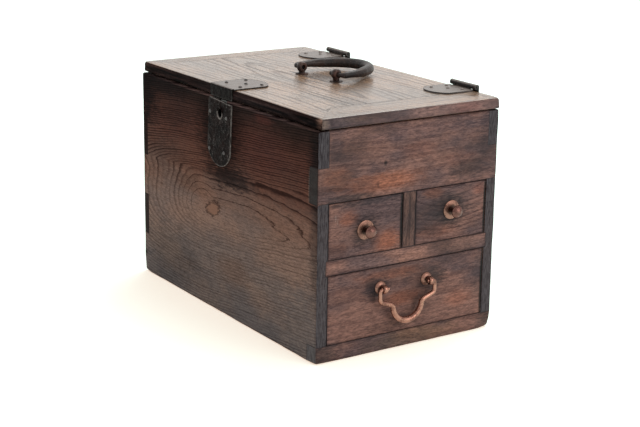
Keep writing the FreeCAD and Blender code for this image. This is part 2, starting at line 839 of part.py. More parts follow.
def keyhole_outline():
    """A teardrop: a round head and a small round foot joined by tangent lines."""
    slope = (S.keyhole_radius - S.keyhole_foot_radius) / S.keyhole_foot_drop
    level = other_side(ONE, slope)
    head_v = -S.keyhole_drop
    foot_v = head_v - S.keyhole_foot_drop
    head_u = S.keyhole_radius * level
    foot_u = S.keyhole_foot_radius * level
    head_low = head_v - S.keyhole_radius * slope
    foot_low = foot_v - S.keyhole_foot_radius * slope
    return [
        (head_u, head_low),
        Arc(ZERO, head_v + S.keyhole_radius, S.keyhole_radius, 1),
        Arc(-head_u, head_low, S.keyhole_radius, 1),
        (-foot_u, foot_low),
        Arc(foot_u, foot_low, S.keyhole_foot_radius, 1),
    ]


def lock_case():
    """The iron case behind the plate, open toward it, with a slot above for the staple."""
    half = S.lock_case_width / 2
    wall = S.lock_case_wall
    low, high = S.lock_centre_y - half, S.lock_centre_y + half
    floor = TOP - S.lock_case_height
    back = LEFT + S.lock_case_depth
    case = Piece("lock_case").pad("YZ", [rectangle((low, high), (floor, TOP))], LEFT, back)
    hollow = rectangle((low + wall, high - wall), (floor + wall, TOP - wall))
    case.pocket("YZ", [hollow], LEFT, back - wall)
    reach = S.staple_thickness / 2 + S.staple_slot_gap
    slot = rectangle((LEFT, back - wall), (S.lock_centre_y - reach, S.lock_centre_y + reach))
    case.pocket("XY", [slot], TOP - wall, TOP)


def staple_x():
    """The staple's width across the lock's case."""
    return (LEFT + S.staple_outer_gap, LEFT + S.staple_outer_gap + S.staple_width)


def staple_eye():
    """The hole in the staple that the bolt's nose enters."""
    low_x, high_x = staple_x()
    middle = (low_x + high_x) / 2
    low_z = LID_LOW - S.staple_length + S.staple_wall
    half = S.staple_eye_width / 2
    return (middle - half, middle + half), (low_z, low_z + S.staple_eye_height)


def lid_staple():
    """The staple under the lid's edge, which hangs into the lock's case."""
    half = S.staple_thickness / 2
    foot = S.staple_foot_length / 2
    y_prong = (S.lock_centre_y - half, S.lock_centre_y + half)
    y_foot = (S.lock_centre_y - foot, S.lock_centre_y + foot)
    staple = Piece("lid_staple")
    staple.pad("XY", [rectangle(staple_x(), y_foot)], LID_LOW - S.staple_foot, LID_LOW)
    staple.pad("XY", [rectangle(staple_x(), y_prong)], LID_LOW - S.staple_length, LID_LOW)
    staple.pocket("XZ", [rectangle(*staple_eye())], *y_prong)


def lock_bolt():
    """The sliding bolt, drawn back: a block that fills the case's width and a narrow nose."""
    eye_x, eye_z = staple_eye()
    gap = S.bolt_clearance
    tip = S.lock_centre_y - S.staple_thickness / 2 - S.bolt_nose_gap
    root = tip - S.bolt_nose_length
    high = TOP - S.lock_case_wall - gap
    outline = rectangle((root - S.bolt_block_length, root), (high - S.bolt_block_height, high))
    back = LEFT + S.lock_case_depth - S.lock_case_wall
    bolt = Piece("lock_bolt").pad("YZ", [outline], LEFT + gap, back - gap)
    nose_x = (eye_x[0] + gap, eye_x[1] - gap)
    nose_z = (eye_z[0] + gap, eye_z[1] - gap)
    bolt.pad("XZ", [rectangle(nose_x, nose_z)], root, tip)


def tongue_outline(root, tip, middle, width, rise):
    """A strap end in plan: straight sides and a bowed tip."""
    half = width / 2
    shoulder = tip - rise
    low, high = (middle - half, middle + half)
    return [(root, low), (shoulder, low), Arc(shoulder, high, bow_radius(width, rise), 1), (root, high)]


def build_strap():
    """The iron strap that wraps the lid's edge above the lock, and the nails of both plates."""
    tip = LID_LEFT + S.strap_reach
    half = S.strap_edge_width / 2
    outline = tongue_outline(LID_LEFT, tip, S.strap_centre_y, S.strap_width, S.strap_tip_rise)
    over = LID_TOP + S.strap_thickness
    outside = LID_LEFT - S.strap_thickness
    strap = Piece("lid_strap").pad("XY", [outline], LID_TOP, over)
    edge_outline = rectangle(
        (S.strap_edge_y - half, S.strap_edge_y + half), (LID_LOW - S.strap_lower_margin, over)
    )
    strap.pad("YZ", [edge_outline], outside, LID_LEFT)
    strap.round(S.lid_edge_round, lambda edge: lies_at(edge, x=outside, z=over))
    strap_places = [
        (LID_LEFT + S.strap_reach * along, S.strap_centre_y + S.strap_width / 2 * across, over)
        for along, across in STRAP_NAIL_SHARES
    ]
    nails("lid_strap_nails", strap_places, FreeCAD.Vector(0, 0, 1))
    tilt = math.radians(S.lock_plate_tilt.value)
    plate_places = []
    for across, down in LOCK_NAIL_SHARES:
        u = S.lock_plate_width / 2 * across
        v = -S.lock_plate_height * down
        y = S.lock_plate_y + u * math.cos(tilt) - v * math.sin(tilt)
        z = TOP - S.lock_plate_top_margin + u * math.sin(tilt) + v * math.cos(tilt)
        plate_places.append((LEFT - S.lock_plate_thickness, y, z))
    nails("lock_plate_nails", plate_places, FreeCAD.Vector(-1, 0, 0))


# posts, knobs and bails


def eye_post(label, sizes, plane):
    """A ball-headed post on its shank, flattened and bored for a bail's end.

    The post's own Z axis points away from the surface that it stands on, which is at zero.
    """
    ball = other_side(sizes["eye"], sizes["neck"])
    clench = bow_radius(sizes["clench_radius"] * 2, sizes["clench_height"])
    foot = -sizes["board"]
    outline = [
        (ZERO, foot - sizes["clench_height"]),
        Arc(sizes["clench_radius"], foot, clench, 1),
        (sizes["shank"], foot),
        (sizes["shank"], sizes["seat"]),
        (sizes["neck"], sizes["seat"]),
        (sizes["neck"], sizes["axis"] - ball),
        Arc(ZERO, sizes["axis"] + sizes["eye"], sizes["eye"], 1),
    ]
    half = sizes["thickness"] / 2
    reach = sizes["eye"] + OVERRUN
    post = Piece(label, False).turn(outline)
    flank = rectangle((-reach, reach), (sizes["axis"] - sizes["eye"], sizes["axis"] + reach))
    post.pocket(plane, [flank], half, reach).pocket(plane, [flank], -reach, -half)
    post.pocket(plane, [Circle(ZERO, sizes["axis"], sizes["bore"])], -half, half)
    return post


def domed_plate(label, sizes):
    """A round backplate with a thin rim and a slight crown, pierced for a shank."""
    bore, radius = sizes["bore"], sizes["radius"]
    rise = sizes["crown"] - sizes["rim"]
    outline = [
        (bore, ZERO),
        (radius, ZERO),
        (radius, sizes["rim"]),
        Arc(bore, sizes["crown"], bow_radius((radius - bore) * 2, rise), 1),
    ]
    return Piece(label, False).turn(outline)


def round_path(corners, radii):
    """Lines and tangent arcs through the corners of an open path."""
    edges = []
    start = corners[0]
    for before, corner, after, radius in zip(corners, corners[1:], corners[2:], radii):
        inward = (corner - before).normalize()
        outward = (after - corner).normalize()
        turn = inward.getAngle(outward)
        cut = radius * math.tan(turn / 2)
        first = corner - inward * cut
        last = corner + outward * cut
        middle_way = (outward - inward).normalize()
        middle = corner + middle_way * (radius / math.cos(turn / 2) - radius)
        edges.append(Part.makeLine(start, first))
        edges.append(Part.Arc(first, middle, last).toShape())
        start = last
    edges.append(Part.makeLine(start, corners[-1]))
    return edges


def rod(edges, radii):
    """A round bar along joined edges, with a radius given at each joint."""
    parts = []
    for edge, first, last in zip(edges, radii, radii[1:]):
        ends = []
        for parameter, radius in ((edge.FirstParameter, first), (edge.LastParameter, last)):
            circle = Part.makeCircle(radius, edge.valueAt(parameter), edge.tangentAt(parameter))
            ends.append(Part.Wire([circle]))
        shell = Part.BRepOffsetAPI.MakePipeShell(Part.Wire([edge]))
        shell.add(ends[0])
        shell.add(ends[1])
        shell.build()
        shell.makeSolid()
        parts.append(shell.shape())
    return parts[0].multiFuse(parts[1:]).removeSplitter()


def mirrored_path(half, normal, second=None):
    """A path joined at the middle to the mirror image of a second one, or else of itself."""
    other = [edge.mirror(FreeCAD.Vector(0, 0, 0), normal) for edge in reversed(second or half)]
    return half + [reverse(edge) for edge in other]


def reverse(edge):
    """The same edge run the other way."""
    first, last = edge.valueAt(edge.FirstParameter), edge.valueAt(edge.LastParameter)
    if isinstance(edge.Curve, Part.Line):
        return Part.makeLine(last, first)
    middle = edge.valueAt((edge.FirstParameter + edge.LastParameter) / 2)
    return Part.Arc(last, middle, first).toShape()


def handle_post_places():
    """Where the lid handle's posts stand, on a line slightly askew to the lid."""
    skew = math.radians(S.handle_skew.value)
    half = S.handle_spacing / 2
    return [
        (
            S.handle_centre_x - half * math.sin(skew) * end,
            S.handle_centre_y + half * math.cos(skew) * end,
        )
        for end in (-1, 1)
    ]


def build_lid_handle():
    """The lid's handle: two ball-headed posts on washers and the heavy bail between them."""
    sizes = {
        "eye": S.handle_eye_radius,
        "thickness": S.handle_eye_thickness,
        "bore": S.handle_end_radius + S.bail_clearance,
        "neck": S.handle_neck_radius,
        "shank": S.handle_shank_radius,
        "seat": S.handle_washer_crown,
        "axis": S.handle_axis_height,
        "board": S.lid_thickness,
        "clench_radius": S.handle_clench_radius,
        "clench_height": S.handle_clench_height,
    }
    washer_sizes = {
        "radius": S.handle_washer_radius,
        "rim": S.handle_washer_rim,
        "crown": S.handle_washer_crown,
        "bore": S.handle_shank_radius + S.post_hole_clearance,
    }
    up = FreeCAD.Vector(0, 0, 1)
    posts = []
    washers = []
    for name, (x, y) in zip(("front", "rear"), handle_post_places()):
        post = eye_post(f"{name}_handle_post", sizes, "XZ")
        posts.append(post.place(x, y, LID_TOP, up, S.handle_skew).body)
        washer = domed_plate(f"{name}_handle_washer", washer_sizes)
        washers.append(washer.place(x, y, LID_TOP).body)
    group("lid_handle_posts", posts)
    group("lid_handle_washers", washers)

    half = S.handle_spacing.value / 2
    arm = half + S.handle_arm_offset.value
    reach = S.handle_reach.value
    slide = S.handle_slide.value
    bends = (S.handle_bend_radius.value, S.handle_shoulder_bend.value, S.handle_corner_bend.value)
    halves = []
    for shift in (slide, -slide):
        places = (
            (0, half - shift - S.handle_end_cover.value),
            (0, arm),
            (S.handle_shoulder_reach.value, arm),
            (reach, S.handle_grip_half_width.value),
            (reach, 0),
        )
        halves.append(round_path([FreeCAD.Vector(x, y, 0) for x, y in places], bends))
    path = mirrored_path(halves[0], FreeCAD.Vector(0, 1, 0), halves[1])
    end, start = S.handle_end_radius.value, S.handle_arm_radius.value
    crook, grip = S.handle_crook_radius.value, S.handle_grip_radius.value
    radii = [end, end, start, start, crook, crook, grip, grip]
    bail = rod(path, radii + radii[-2::-1])
    bail.translate(FreeCAD.Vector(0, slide, 0))
    drop = S.handle_axis_height.value - grip - S.handle_lift.value
    bail.rotate(FreeCAD.Vector(0, 0, 0), FreeCAD.Vector(0, 1, 0), math.degrees(math.asin(drop / reach)))
    z = LID_TOP + S.handle_axis_height
    shaped("lid_handle_bail", bail, S.handle_centre_x, S.handle_centre_y, z, up, S.handle_skew)


# the drawers


def drawer(name, x_span, z_span, front, side, bottom, lap, back_drop, holes):
    """A drawer of five boards: the front is rebated for the sides and the bottom."""
    (x_low, x_high), (z_low, z_high) = x_span, z_span
    lap_y = FRONT + front - lap
    front_back = FRONT + front
    end = INNER_REAR - S.drawer_back_gap
    floor = z_low + bottom
    board = Piece(f"{name}_front").pad("XZ", [rectangle(x_span, z_span)], FRONT, front_back)
    side_spans = ((x_low, x_low + side), (x_high - side, x_high))
    rebates = [rectangle(ends, (lap_y, front_back)) for ends in side_spans]
    board.pocket("XY", rebates, z_low, z_high)
    board.pocket("XZ", [rectangle(x_span, (z_low, floor))], lap_y, front_back)
    board.pocket("XZ", holes, FRONT, front_back)
    board.round(S.drawer_edge_round, lambda edge: on_front_rim(edge, x_span, z_span))
    for hand, side_span in zip(("left", "right"), side_spans):
        block(f"{name}_{hand}_side", side_span, (lap_y, end), (floor, z_high))
    between = (x_low + side, x_high - side)
    block(f"{name}_back", between, (end - side, end), (floor, z_high - back_drop))
    block(f"{name}_bottom", x_span, (lap_y, end), (z_low, floor))


def on_front_rim(edge, x_span, z_span):
    """Whether an edge borders the face of a drawer's front."""
    on_side = any(lies_at(edge, y=FRONT, x=place) for place in x_span)
    return on_side or any(lies_at(edge, y=FRONT, z=place) for place in z_span)


def knob(name, x, z, board):
    """A copper knob on a domed round plate, its shank clenched inside the drawer."""
    forward = FreeCAD.Vector(1, 0, 0)
    plate_sizes = {
        "radius": S.knob_plate_radius,
        "rim": S.knob_plate_rim,
        "crown": S.knob_plate_crown,
        "bore": S.knob_shank_radius + S.post_hole_clearance,
    }
    plate = domed_plate(f"{name}_knob_plate", plate_sizes)
    plate.place(x, FRONT, z, forward, QUARTER_TURN)
    pieces.append(plate.body)
    seat = S.knob_plate_crown
    shoulder = seat + S.knob_neck_length
    brim = shoulder + S.knob_brim_height
    crown = S.knob_head_length - S.knob_brim_height
    clench = bow_radius(S.knob_clench_radius * 2, S.knob_clench_height)
    outline = [
        (ZERO, -board - S.knob_clench_height),
        Arc(S.knob_clench_radius, -board, clench, 1),
        (S.knob_shank_radius, -board),
        (S.knob_shank_radius, seat),
        (S.knob_neck_radius, seat),
        (S.knob_neck_radius, shoulder),
        Arc(S.knob_head_radius, brim, S.knob_flare_radius, 1),
        Arc(ZERO, shoulder + S.knob_head_length, bow_radius(S.knob_head_radius * 2, crown), 1),
    ]
    Piece(f"{name}_knob").turn(outline).place(x, FRONT, z, forward, QUARTER_TURN)


def build_small_drawers():
    """The two small drawers under the tray, each with its knob."""
    z_span = (RAIL_TOP + S.drawer_under_gap, S.panel_low - S.drawer_top_gap)
    middle_z = (z_span[0] + z_span[1]) / 2
    half = S.divider_width / 2
    gap = S.drawer_side_gap
    left_x = (INNER_LEFT + gap, DIVIDER_X - half - gap)
    right_x = (DIVIDER_X + half + gap, INNER_RIGHT - gap)
    bays = {
        "left_drawer": (left_x, -S.left_knob_x, middle_z - S.left_knob_drop),
        "right_drawer": (right_x, S.right_knob_x, middle_z + S.right_knob_rise),
    }
    for name, (x_span, x, z) in bays.items():
        hole = Circle(x, z, S.knob_shank_radius + S.post_hole_clearance)
        drawer(
            name,
            x_span,
            z_span,
            S.small_front_thickness,
            S.small_side_thickness,
            S.small_bottom_thickness,
            S.small_lap,
            S.small_back_drop,
            [hole],
        )
        knob(name, x, z, S.small_front_thickness)


def build_large_drawer():
    """The wide drawer at the foot, with its swan-necked copper pull."""
    gap = S.drawer_side_gap
    posts = [(S.pull_centre_x + S.pull_spacing / 2 * end, S.pull_height) for end in (-1, 1)]
    drawer(
        "large_drawer",
        (INNER_LEFT + gap, INNER_RIGHT - gap),
        (S.sill_height + S.drawer_under_gap, S.rail_low - S.drawer_top_gap),
        S.large_front_thickness,
        S.large_side_thickness,
        S.large_bottom_thickness,
        S.large_lap,
        S.large_back_drop,
        [Circle(x, z, S.pull_shank_radius + S.post_hole_clearance) for x, z in posts],
    )
    sizes = {
        "eye": S.pull_eye_radius,
        "thickness": S.pull_eye_thickness,
        "bore": S.pull_end_radius + S.bail_clearance,
        "neck": S.pull_neck_radius,
        "shank": S.pull_shank_radius,
        "seat": S.pull_plate_crown,
        "axis": S.pull_stand_off,
        "board": S.large_front_thickness,
        "clench_radius": S.pull_clench_radius,
        "clench_height": S.pull_clench_height,
    }
    plate_sizes = {
        "radius": S.pull_plate_radius,
        "rim": S.pull_plate_rim,
        "crown": S.pull_plate_crown,
        "bore": S.pull_shank_radius + S.post_hole_clearance,
    }
    forward = FreeCAD.Vector(1, 0, 0)
    bodies = []
    plates = []
    for side, (x, z) in zip(("left", "right"), posts):
        post = eye_post(f"{side}_pull_post", sizes, "YZ")
        bodies.append(post.place(x, FRONT, z, forward, QUARTER_TURN).body)
        plate = domed_plate(f"{side}_pull_plate", plate_sizes)
        plates.append(plate.place(x, FRONT, z, forward, QUARTER_TURN).body)
    group("large_drawer_pull_posts", bodies)
    group("large_drawer_pull_plates", plates)

    half = S.pull_spacing.value / 2
    arm = half + S.pull_arm_offset.value
    shoulder = -S.pull_shoulder_drop.value
    bow = S.pull_bow_half_width.value
    inner_shoulder = shoulder - S.pull_shoulder_slope.value
    bow_top = bow - S.pull_drop.value
    places = (
        (half - S.pull_end_reach.value, 0),
        (arm, 0),
        (arm, shoulder),
        (bow, inner_shoulder),
        (bow, bow_top),
    )
    corners = [FreeCAD.Vector(x, 0, z) for x, z in places]
    bend = S.pull_bend_radius.value
    path = round_path(corners, (S.pull_eye_bend.value, bend, S.pull_neck_bend.value))
    eighth = math.radians(QUARTER_TURN.value / 2)
    middle = FreeCAD.Vector(bow * math.cos(eighth), 0, bow_top - bow * math.sin(eighth))
    path.append(Part.Arc(corners[-1], middle, FreeCAD.Vector(0, 0, -S.pull_drop.value)).toShape())
    path = mirrored_path(path, FreeCAD.Vector(1, 0, 0))
    end, grip = S.pull_end_radius.value, S.pull_grip_radius.value
    radii = [end] * (len(path) // 2) + [grip]
    bail = rod(path, radii + radii[-2::-1])
    shaped("large_drawer_bail", bail, S.pull_centre_x, FRONT - S.pull_stand_off, S.pull_height)


def check_model():
    """Stops if any object failed, any cut removed nothing or any piece isn't sound."""
    doc.recompute()
    for item in doc.Objects:
        faults = {"Invalid", "Error"} & set(item.State)
        if faults:
            raise ValueError(f"{item.Label}: {', '.join(faults)}")
    for feature in features:
        if feature.TypeId == "PartDesign::Pocket":
            if feature.BaseFeature.Shape.Volume - feature.Shape.Volume < TOUCH:
                raise ValueError(f"{feature.Label} cuts nothing")
    for item in pieces:
        if item.Shape.isNull() or not item.Shape.isValid():
            raise ValueError(f"{item.Label} isn't sound")


build_case()
build_lid_boards()
build_hinges()
build_lock()
build_strap()
build_lid_handle()
build_small_drawers()
build_large_drawer()
check_model()

os.makedirs("parts", exist_ok=True)
for item in pieces:
    item.Shape.exportStep(f"parts/{item.Label}.step")
print(f"{len(pieces)} pieces")
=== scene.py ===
"""The looks of a wooden writing box: worn boards, blackened iron fittings and copper pulls."""
import json
import logging
import math
from collections.abc import Callable
from dataclasses import dataclass, replace
from enum import Enum
from functools import reduce

import bmesh
import bpy
from mathutils import Matrix, Vector, noise


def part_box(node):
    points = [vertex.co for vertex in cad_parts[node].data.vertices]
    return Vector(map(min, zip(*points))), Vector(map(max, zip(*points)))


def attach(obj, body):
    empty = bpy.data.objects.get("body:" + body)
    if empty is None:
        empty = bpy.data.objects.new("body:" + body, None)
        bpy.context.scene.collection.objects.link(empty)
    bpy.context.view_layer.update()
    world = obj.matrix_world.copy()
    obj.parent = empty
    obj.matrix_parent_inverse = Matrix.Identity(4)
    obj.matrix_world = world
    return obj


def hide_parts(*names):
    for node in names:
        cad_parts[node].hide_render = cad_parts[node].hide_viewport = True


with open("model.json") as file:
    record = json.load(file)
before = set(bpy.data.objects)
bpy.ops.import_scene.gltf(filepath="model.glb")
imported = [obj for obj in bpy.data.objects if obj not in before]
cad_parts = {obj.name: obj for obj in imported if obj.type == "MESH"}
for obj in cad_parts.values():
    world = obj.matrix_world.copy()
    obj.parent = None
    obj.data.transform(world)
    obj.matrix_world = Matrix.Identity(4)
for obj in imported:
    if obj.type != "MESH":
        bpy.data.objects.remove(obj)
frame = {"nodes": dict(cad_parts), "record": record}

MM = 0.001
log = logging.getLogger("writing_box")

Colour = tuple[float, float, float]
Point = tuple[float, float, float]
Range = tuple[float, float]
Spot = tuple[float, float]
Box = tuple[Vector, Vector]
Socket = bpy.types.NodeSocket

# node trees

# A mix node keeps sockets for each kind of value: these are its factor, its two colours and their mix.
COLOUR_MIX_INPUTS = (0, 6, 7)
COLOUR_MIX_OUTPUT = 2


class Signal:
    """A number carried by a socket; arithmetic on it adds the matching nodes."""

    def __init__(self, tree: "Tree", socket: Socket) -> None:
        """Keeps the socket and the tree that it belongs to."""
        self.tree = tree
        self.socket = socket

    def __add__(self, other: "Signal | float") -> "Signal":
        """Adds."""
        return self.tree.math("ADD", self, other)

    def __sub__(self, other: "Signal | float") -> "Signal":
        """Subtracts."""
        return self.tree.math("SUBTRACT", self, other)

    def __mul__(self, other: "Signal | float") -> "Signal":
        """Multiplies."""
        return self.tree.math("MULTIPLY", self, other)

    def __truediv__(self, other: "Signal | float") -> "Signal":
        """Divides."""
        return self.tree.math("DIVIDE", self, other)

    def square(self) -> "Signal":
        """The value times itself."""
        return self.tree.math("POWER", self, 2.0)

    def size(self) -> "Signal":
        """The value without its sign."""
        return self.tree.math("ABSOLUTE", self)

    def least(self, other: "Signal | float") -> "Signal":
        """The smaller of two values."""
        return self.tree.math("MINIMUM", self, other)

    def most(self, other: "Signal | float") -> "Signal":
        """The larger of two values."""
        return self.tree.math("MAXIMUM", self, other)

    def flip(self) -> "Signal":
        """One less the value."""
        return self * -1.0 + 1.0

    def root(self) -> "Signal":
        """The square root."""
        return self.tree.math("SQRT", self)

    def fraction(self) -> "Signal":
        """The part after the decimal point."""
        return self.tree.math("FRACT", self)

    def fade(self, start: float, end: float, low: float = 0.0, high: float = 1.0) -> "Signal":
        """Goes smoothly from one result to another, and stays there.

        Args:
            start: The value where the change starts.
            end: The value where it ends.
            low: The result before the change.
            high: The result after it.

        Returns:
            The result.
        """
        node = self.tree.add(
            "ShaderNodeMapRange", Value=self, From_Min=start, From_Max=end, To_Min=low, To_Max=high)
        node.interpolation_type = "SMOOTHSTEP"
        return Signal(self.tree, node.outputs["Result"])


Phase = tuple[Signal, Signal | None]


class Tree:
    """Writes the nodes of one node tree."""

    def __init__(self, node_tree: bpy.types.NodeTree) -> None:
        """Empties the node tree.

        Args:
            node_tree: The node tree to write.
        """
        self.nodes = node_tree.nodes
        self.links = node_tree.links
        self.nodes.clear()

    def add(self, kind: str, **inputs: object) -> bpy.types.Node:
        """Adds a node and feeds its inputs.

        Args:
            kind: The kind of node.
            **inputs: Values or links by socket name, with _ for a space.

        Returns:
            The node.
        """
        node = self.nodes.new(kind)
        for name, value in inputs.items():
            self.feed(node.inputs[name.replace("_", " ")], value)
        return node

    def feed(self, socket: Socket, value: object) -> None:
        """Links a signal or a socket to an input, or sets the input to a plain value.

        Args:
            socket: The input.
            value: What it gets.
        """
        if isinstance(value, Signal):
            self.links.new(value.socket, socket)
        elif isinstance(value, bpy.types.NodeSocket):
            self.links.new(value, socket)
        elif isinstance(value, tuple) and socket.type == "RGBA":
            socket.default_value = (*value, 1.0)
        else:
            socket.default_value = value

    def feed_in_order(self, node: bpy.types.Node, *values: object) -> bpy.types.Node:
        """Feeds a node's first inputs, for nodes whose inputs share a name.

        Args:
            node: The node.
            *values: What its inputs get, in their order.

        Returns:
            The node.
        """
        for socket, value in zip(node.inputs, values):
            self.feed(socket, value)
        return node

    def math(self, operation: str, first: "Signal | float", second: "Signal | float" = 0.0) -> Signal:
        """Works out one operation on two values.

        Args:
            operation: The math node's operation.
            first: The first value.
            second: The second value, where the operation has one.

        Returns:
            The result.
        """
        node = self.feed_in_order(self.add("ShaderNodeMath"), first, second)
        node.operation = operation
        return Signal(self, node.outputs[0])

    def rays(self, *kinds: str) -> Signal:
        """Tells some kinds of ray from the others.

        Args:
            *kinds: The kinds, as the light path node names them.

        Returns:
            1 for a ray of one of these kinds, or else 0.
        """
        path = self.add("ShaderNodeLightPath").outputs
        first, *others = (Signal(self, path[f"Is {kind} Ray"]) for kind in kinds)
        for other in others:
            first = first.most(other)
        return first

    def choose(self, factor: Signal, first: bpy.types.Node, second: bpy.types.Node) -> Socket:
        """Mixes two shaders.

        Args:
            factor: The second shader's share.
            first: The node of the first shader.
            second: The node of the second shader.

        Returns:
            The mixed shader.
        """
        mixer = self.add("ShaderNodeMixShader")
        return self.feed_in_order(mixer, factor, first.outputs[0], second.outputs[0]).outputs[0]


class MaterialTree(Tree):
    """Writes the node tree of one material."""

    def __init__(self, name: str) -> None:
        """Starts an empty material.

        Args:
            name: The material's name.
        """
        self.material = bpy.data.materials.new(name)
        self.material.use_nodes = True
        super().__init__(self.material.node_tree)
        self.output = self.add("ShaderNodeOutputMaterial")
        self.coordinates = self.add("ShaderNodeTexCoord").outputs

    def split(self, socket: Socket) -> tuple[Signal, ...]:
        """The three parts of a vector."""
        node = self.feed_in_order(self.add("ShaderNodeSeparateXYZ"), socket)
        return tuple(Signal(self, output) for output in node.outputs)

    def join(self, *parts: "Signal | float") -> Socket:
        """The vector of three parts."""
        return self.feed_in_order(self.add("ShaderNodeCombineXYZ"), *parts).outputs[0]

    def places(self) -> tuple[Signal, ...]:
        """Finds where each point lies.

        Returns:
            The place on the object, in millimetres.
        """
        node = self.add("ShaderNodeVectorMath")
        node.operation = "SCALE"
        self.feed(node.inputs[0], self.coordinates["Object"])
        self.feed(node.inputs["Scale"], 1 / MM)
        return self.split(node.outputs[0])

    def noise(self, vector: Socket, detail: float, roughness: float, scale: float = 1.0) -> Signal:
        """Makes cloudy noise.

        Args:
            vector: The place that the noise follows.
            detail: How many finer layers it has.
            roughness: How strong the finer layers are.
            scale: Its cycles for each unit of the place.

        Returns:
            The noise, from 0 to 1.
        """
        node = self.add("ShaderNodeTexNoise", Vector=vector, Scale=scale, Detail=detail, Roughness=roughness)
        return Signal(self, node.outputs[0])

    def dents(self, vector: Socket, scale: float) -> Signal:
        """Makes scattered round dents.

        Args:
            vector: The place that the dents follow.
            scale: How many there are for each unit of the place.

        Returns:
            The distance from the nearest dent's middle.
        """
        node = self.add("ShaderNodeTexVoronoi")
        node.feature = "SMOOTH_F1"
        self.feed(node.inputs["Vector"], vector)
        self.feed(node.inputs["Scale"], scale)
        return Signal(self, node.outputs["Distance"])

    def wear(self) -> Signal:
        """Reads the wear kept on the mesh.

        Returns:
            1 on a worn edge, -1 on an edge in a joint, and 0 elsewhere.
        """
        node = self.add("ShaderNodeAttribute")
        node.attribute_name = WEAR
        return Signal(self, node.outputs["Fac"])

    def mix(self, factor: "Signal | float", first: object, second: object, blend: str = "MIX") -> Socket:
        """Mixes two colours.

        Args:
            factor: The second colour's share.
            first: The first colour.
            second: The second colour.
            blend: The way that they are mixed.

        Returns:
            The mixed colour.
        """
        node = self.add("ShaderNodeMix")
        node.data_type = "RGBA"
        node.blend_type = blend
        for number, value in zip(COLOUR_MIX_INPUTS, (factor, first, second)):
            self.feed(node.inputs[number], value)
        return node.outputs[COLOUR_MIX_OUTPUT]

    def times(self, first: object, second: object) -> Socket:
        """The product of two colours."""
        return self.mix(1.0, first, second, "MULTIPLY")

    def ramp(self, value: Signal, stops: tuple[tuple[float, Colour], ...]) -> Socket:
        """Makes a colour that follows a value.

        Args:
            value: The value, from 0 to 1.
            stops: The colours on the way, each with its place.

        Returns:
            The colour.
        """
        node = self.feed_in_order(self.add("ShaderNodeValToRGB"), value)
        node.color_ramp.interpolation = "EASE"
        elements = node.color_ramp.elements
        for number, (place, colour) in enumerate(stops):
            stop = elements[number] if number < len(elements) else elements.new(place)
            stop.position = place
            stop.color = (*colour, 1)
        return node.outputs[0]

    def bump(self, height: Signal, distance: float) -> Socket:
        """The normals of a relief of this height, in metres."""
        return self.add("ShaderNodeBump", Distance=distance, Height=height).outputs[0]

    def surface(self, **sockets: object) -> bpy.types.Material:
        """Ends the tree with one principled surface.

        Args:
            **sockets: Values or links by socket name, with _ for a space.

        Returns:
            The finished material.
        """
        shader = self.add("ShaderNodeBsdfPrincipled", **sockets)
        self.feed(self.output.inputs["Surface"], shader.outputs[0])
        return self.material


# wood

WEAR = "wear"
MARK_EDGE: Range = (1.3, 0.35)
MARK_FRAYING = 2.4
CRACK_EDGE: Range = (1.6, 0.3)
CRACK_TAPER = 12.0
CRACK_MEANDER = 4.8
RING_RIPPLE = 0.8
Zones = Callable[[tuple[Signal, ...], Signal, Signal], Socket]


class Grain(Enum):
    """The way a board's grain runs: which axes are along, across and through the board."""

    ALONG_X = (0, 2, 1)
    ALONG_Y = (1, 2, 0)
    ALONG_Z = (2, 0, 1)
    FLAT_ALONG_X = (0, 1, 2)
    FLAT_ALONG_Y = (1, 0, 2)


@dataclass(frozen=True)
class SoftMark:
    """A soft mark round a place, in millimetres, with its own colour; it serves for stains and for painted
    shade, sheen and reflections.
    """

    place: Point
    reach: Point
    colour: Colour
    strength: float = 0.8
    ragged: float = 0.5

    def cover(self, xyz: tuple[Signal, ...], fleck: Signal) -> Signal:
        """Finds where the mark shows.

        Args:
            xyz: The place on the object, in millimetres.
            fleck: The noise that frays the mark's edge.

        Returns:
            The share of the mark's colour, from 0 to 1.
        """
        first, second, third = (
            ((value - centre) / size).square() for value, centre, size in zip(xyz, self.place, self.reach))
        gap = (first + second + third).root() + (fleck - 0.5) * (self.ragged * MARK_FRAYING)
        return gap.fade(*MARK_EDGE) * self.strength


@dataclass(frozen=True)
class Crack:
    """A thin dark line along the grain: where it lies across it, and where it starts and ends."""

    across: float
    start: float
    end: float
    slope: float = 0.0
    width: float = 0.5
    strength: float = 0.6

    def cover(self, along: Signal, across: Signal, ripple: Signal) -> Signal:
        """Finds where the line shows.

        Args:
            along: The place along the grain.
            across: The place across it.
            ripple: The noise that bends the line.

        Returns:
            The share of the line's colour, from 0 to 1.
        """
        gap = (across - self.across - along * self.slope + ripple * CRACK_MEANDER).size()
        head = along.fade(self.start, self.start + CRACK_TAPER)
        tail = along.fade(self.end, self.end - CRACK_TAPER)
        outside, inside = (self.width * share for share in CRACK_EDGE)
        return gap.fade(outside, inside) * (head * tail) * self.strength


@dataclass(frozen=True)
class Heart:
    """A knot's dry heart: its middle along and across the grain, and half its size each way."""

    along: float
    across: float
    long: float
    high: float
    slope: float = 0.2
    colour: Colour = (0.31, 0.165, 0.108)
    edge: Range = (1.05, 0.85)
    fraying: float = 1.3
    fine_fraying: float = 0.6
    rim: float = 1.08
    rim_edge: Range = (0.24, 0.05)
    rim_strength: float = 0.75


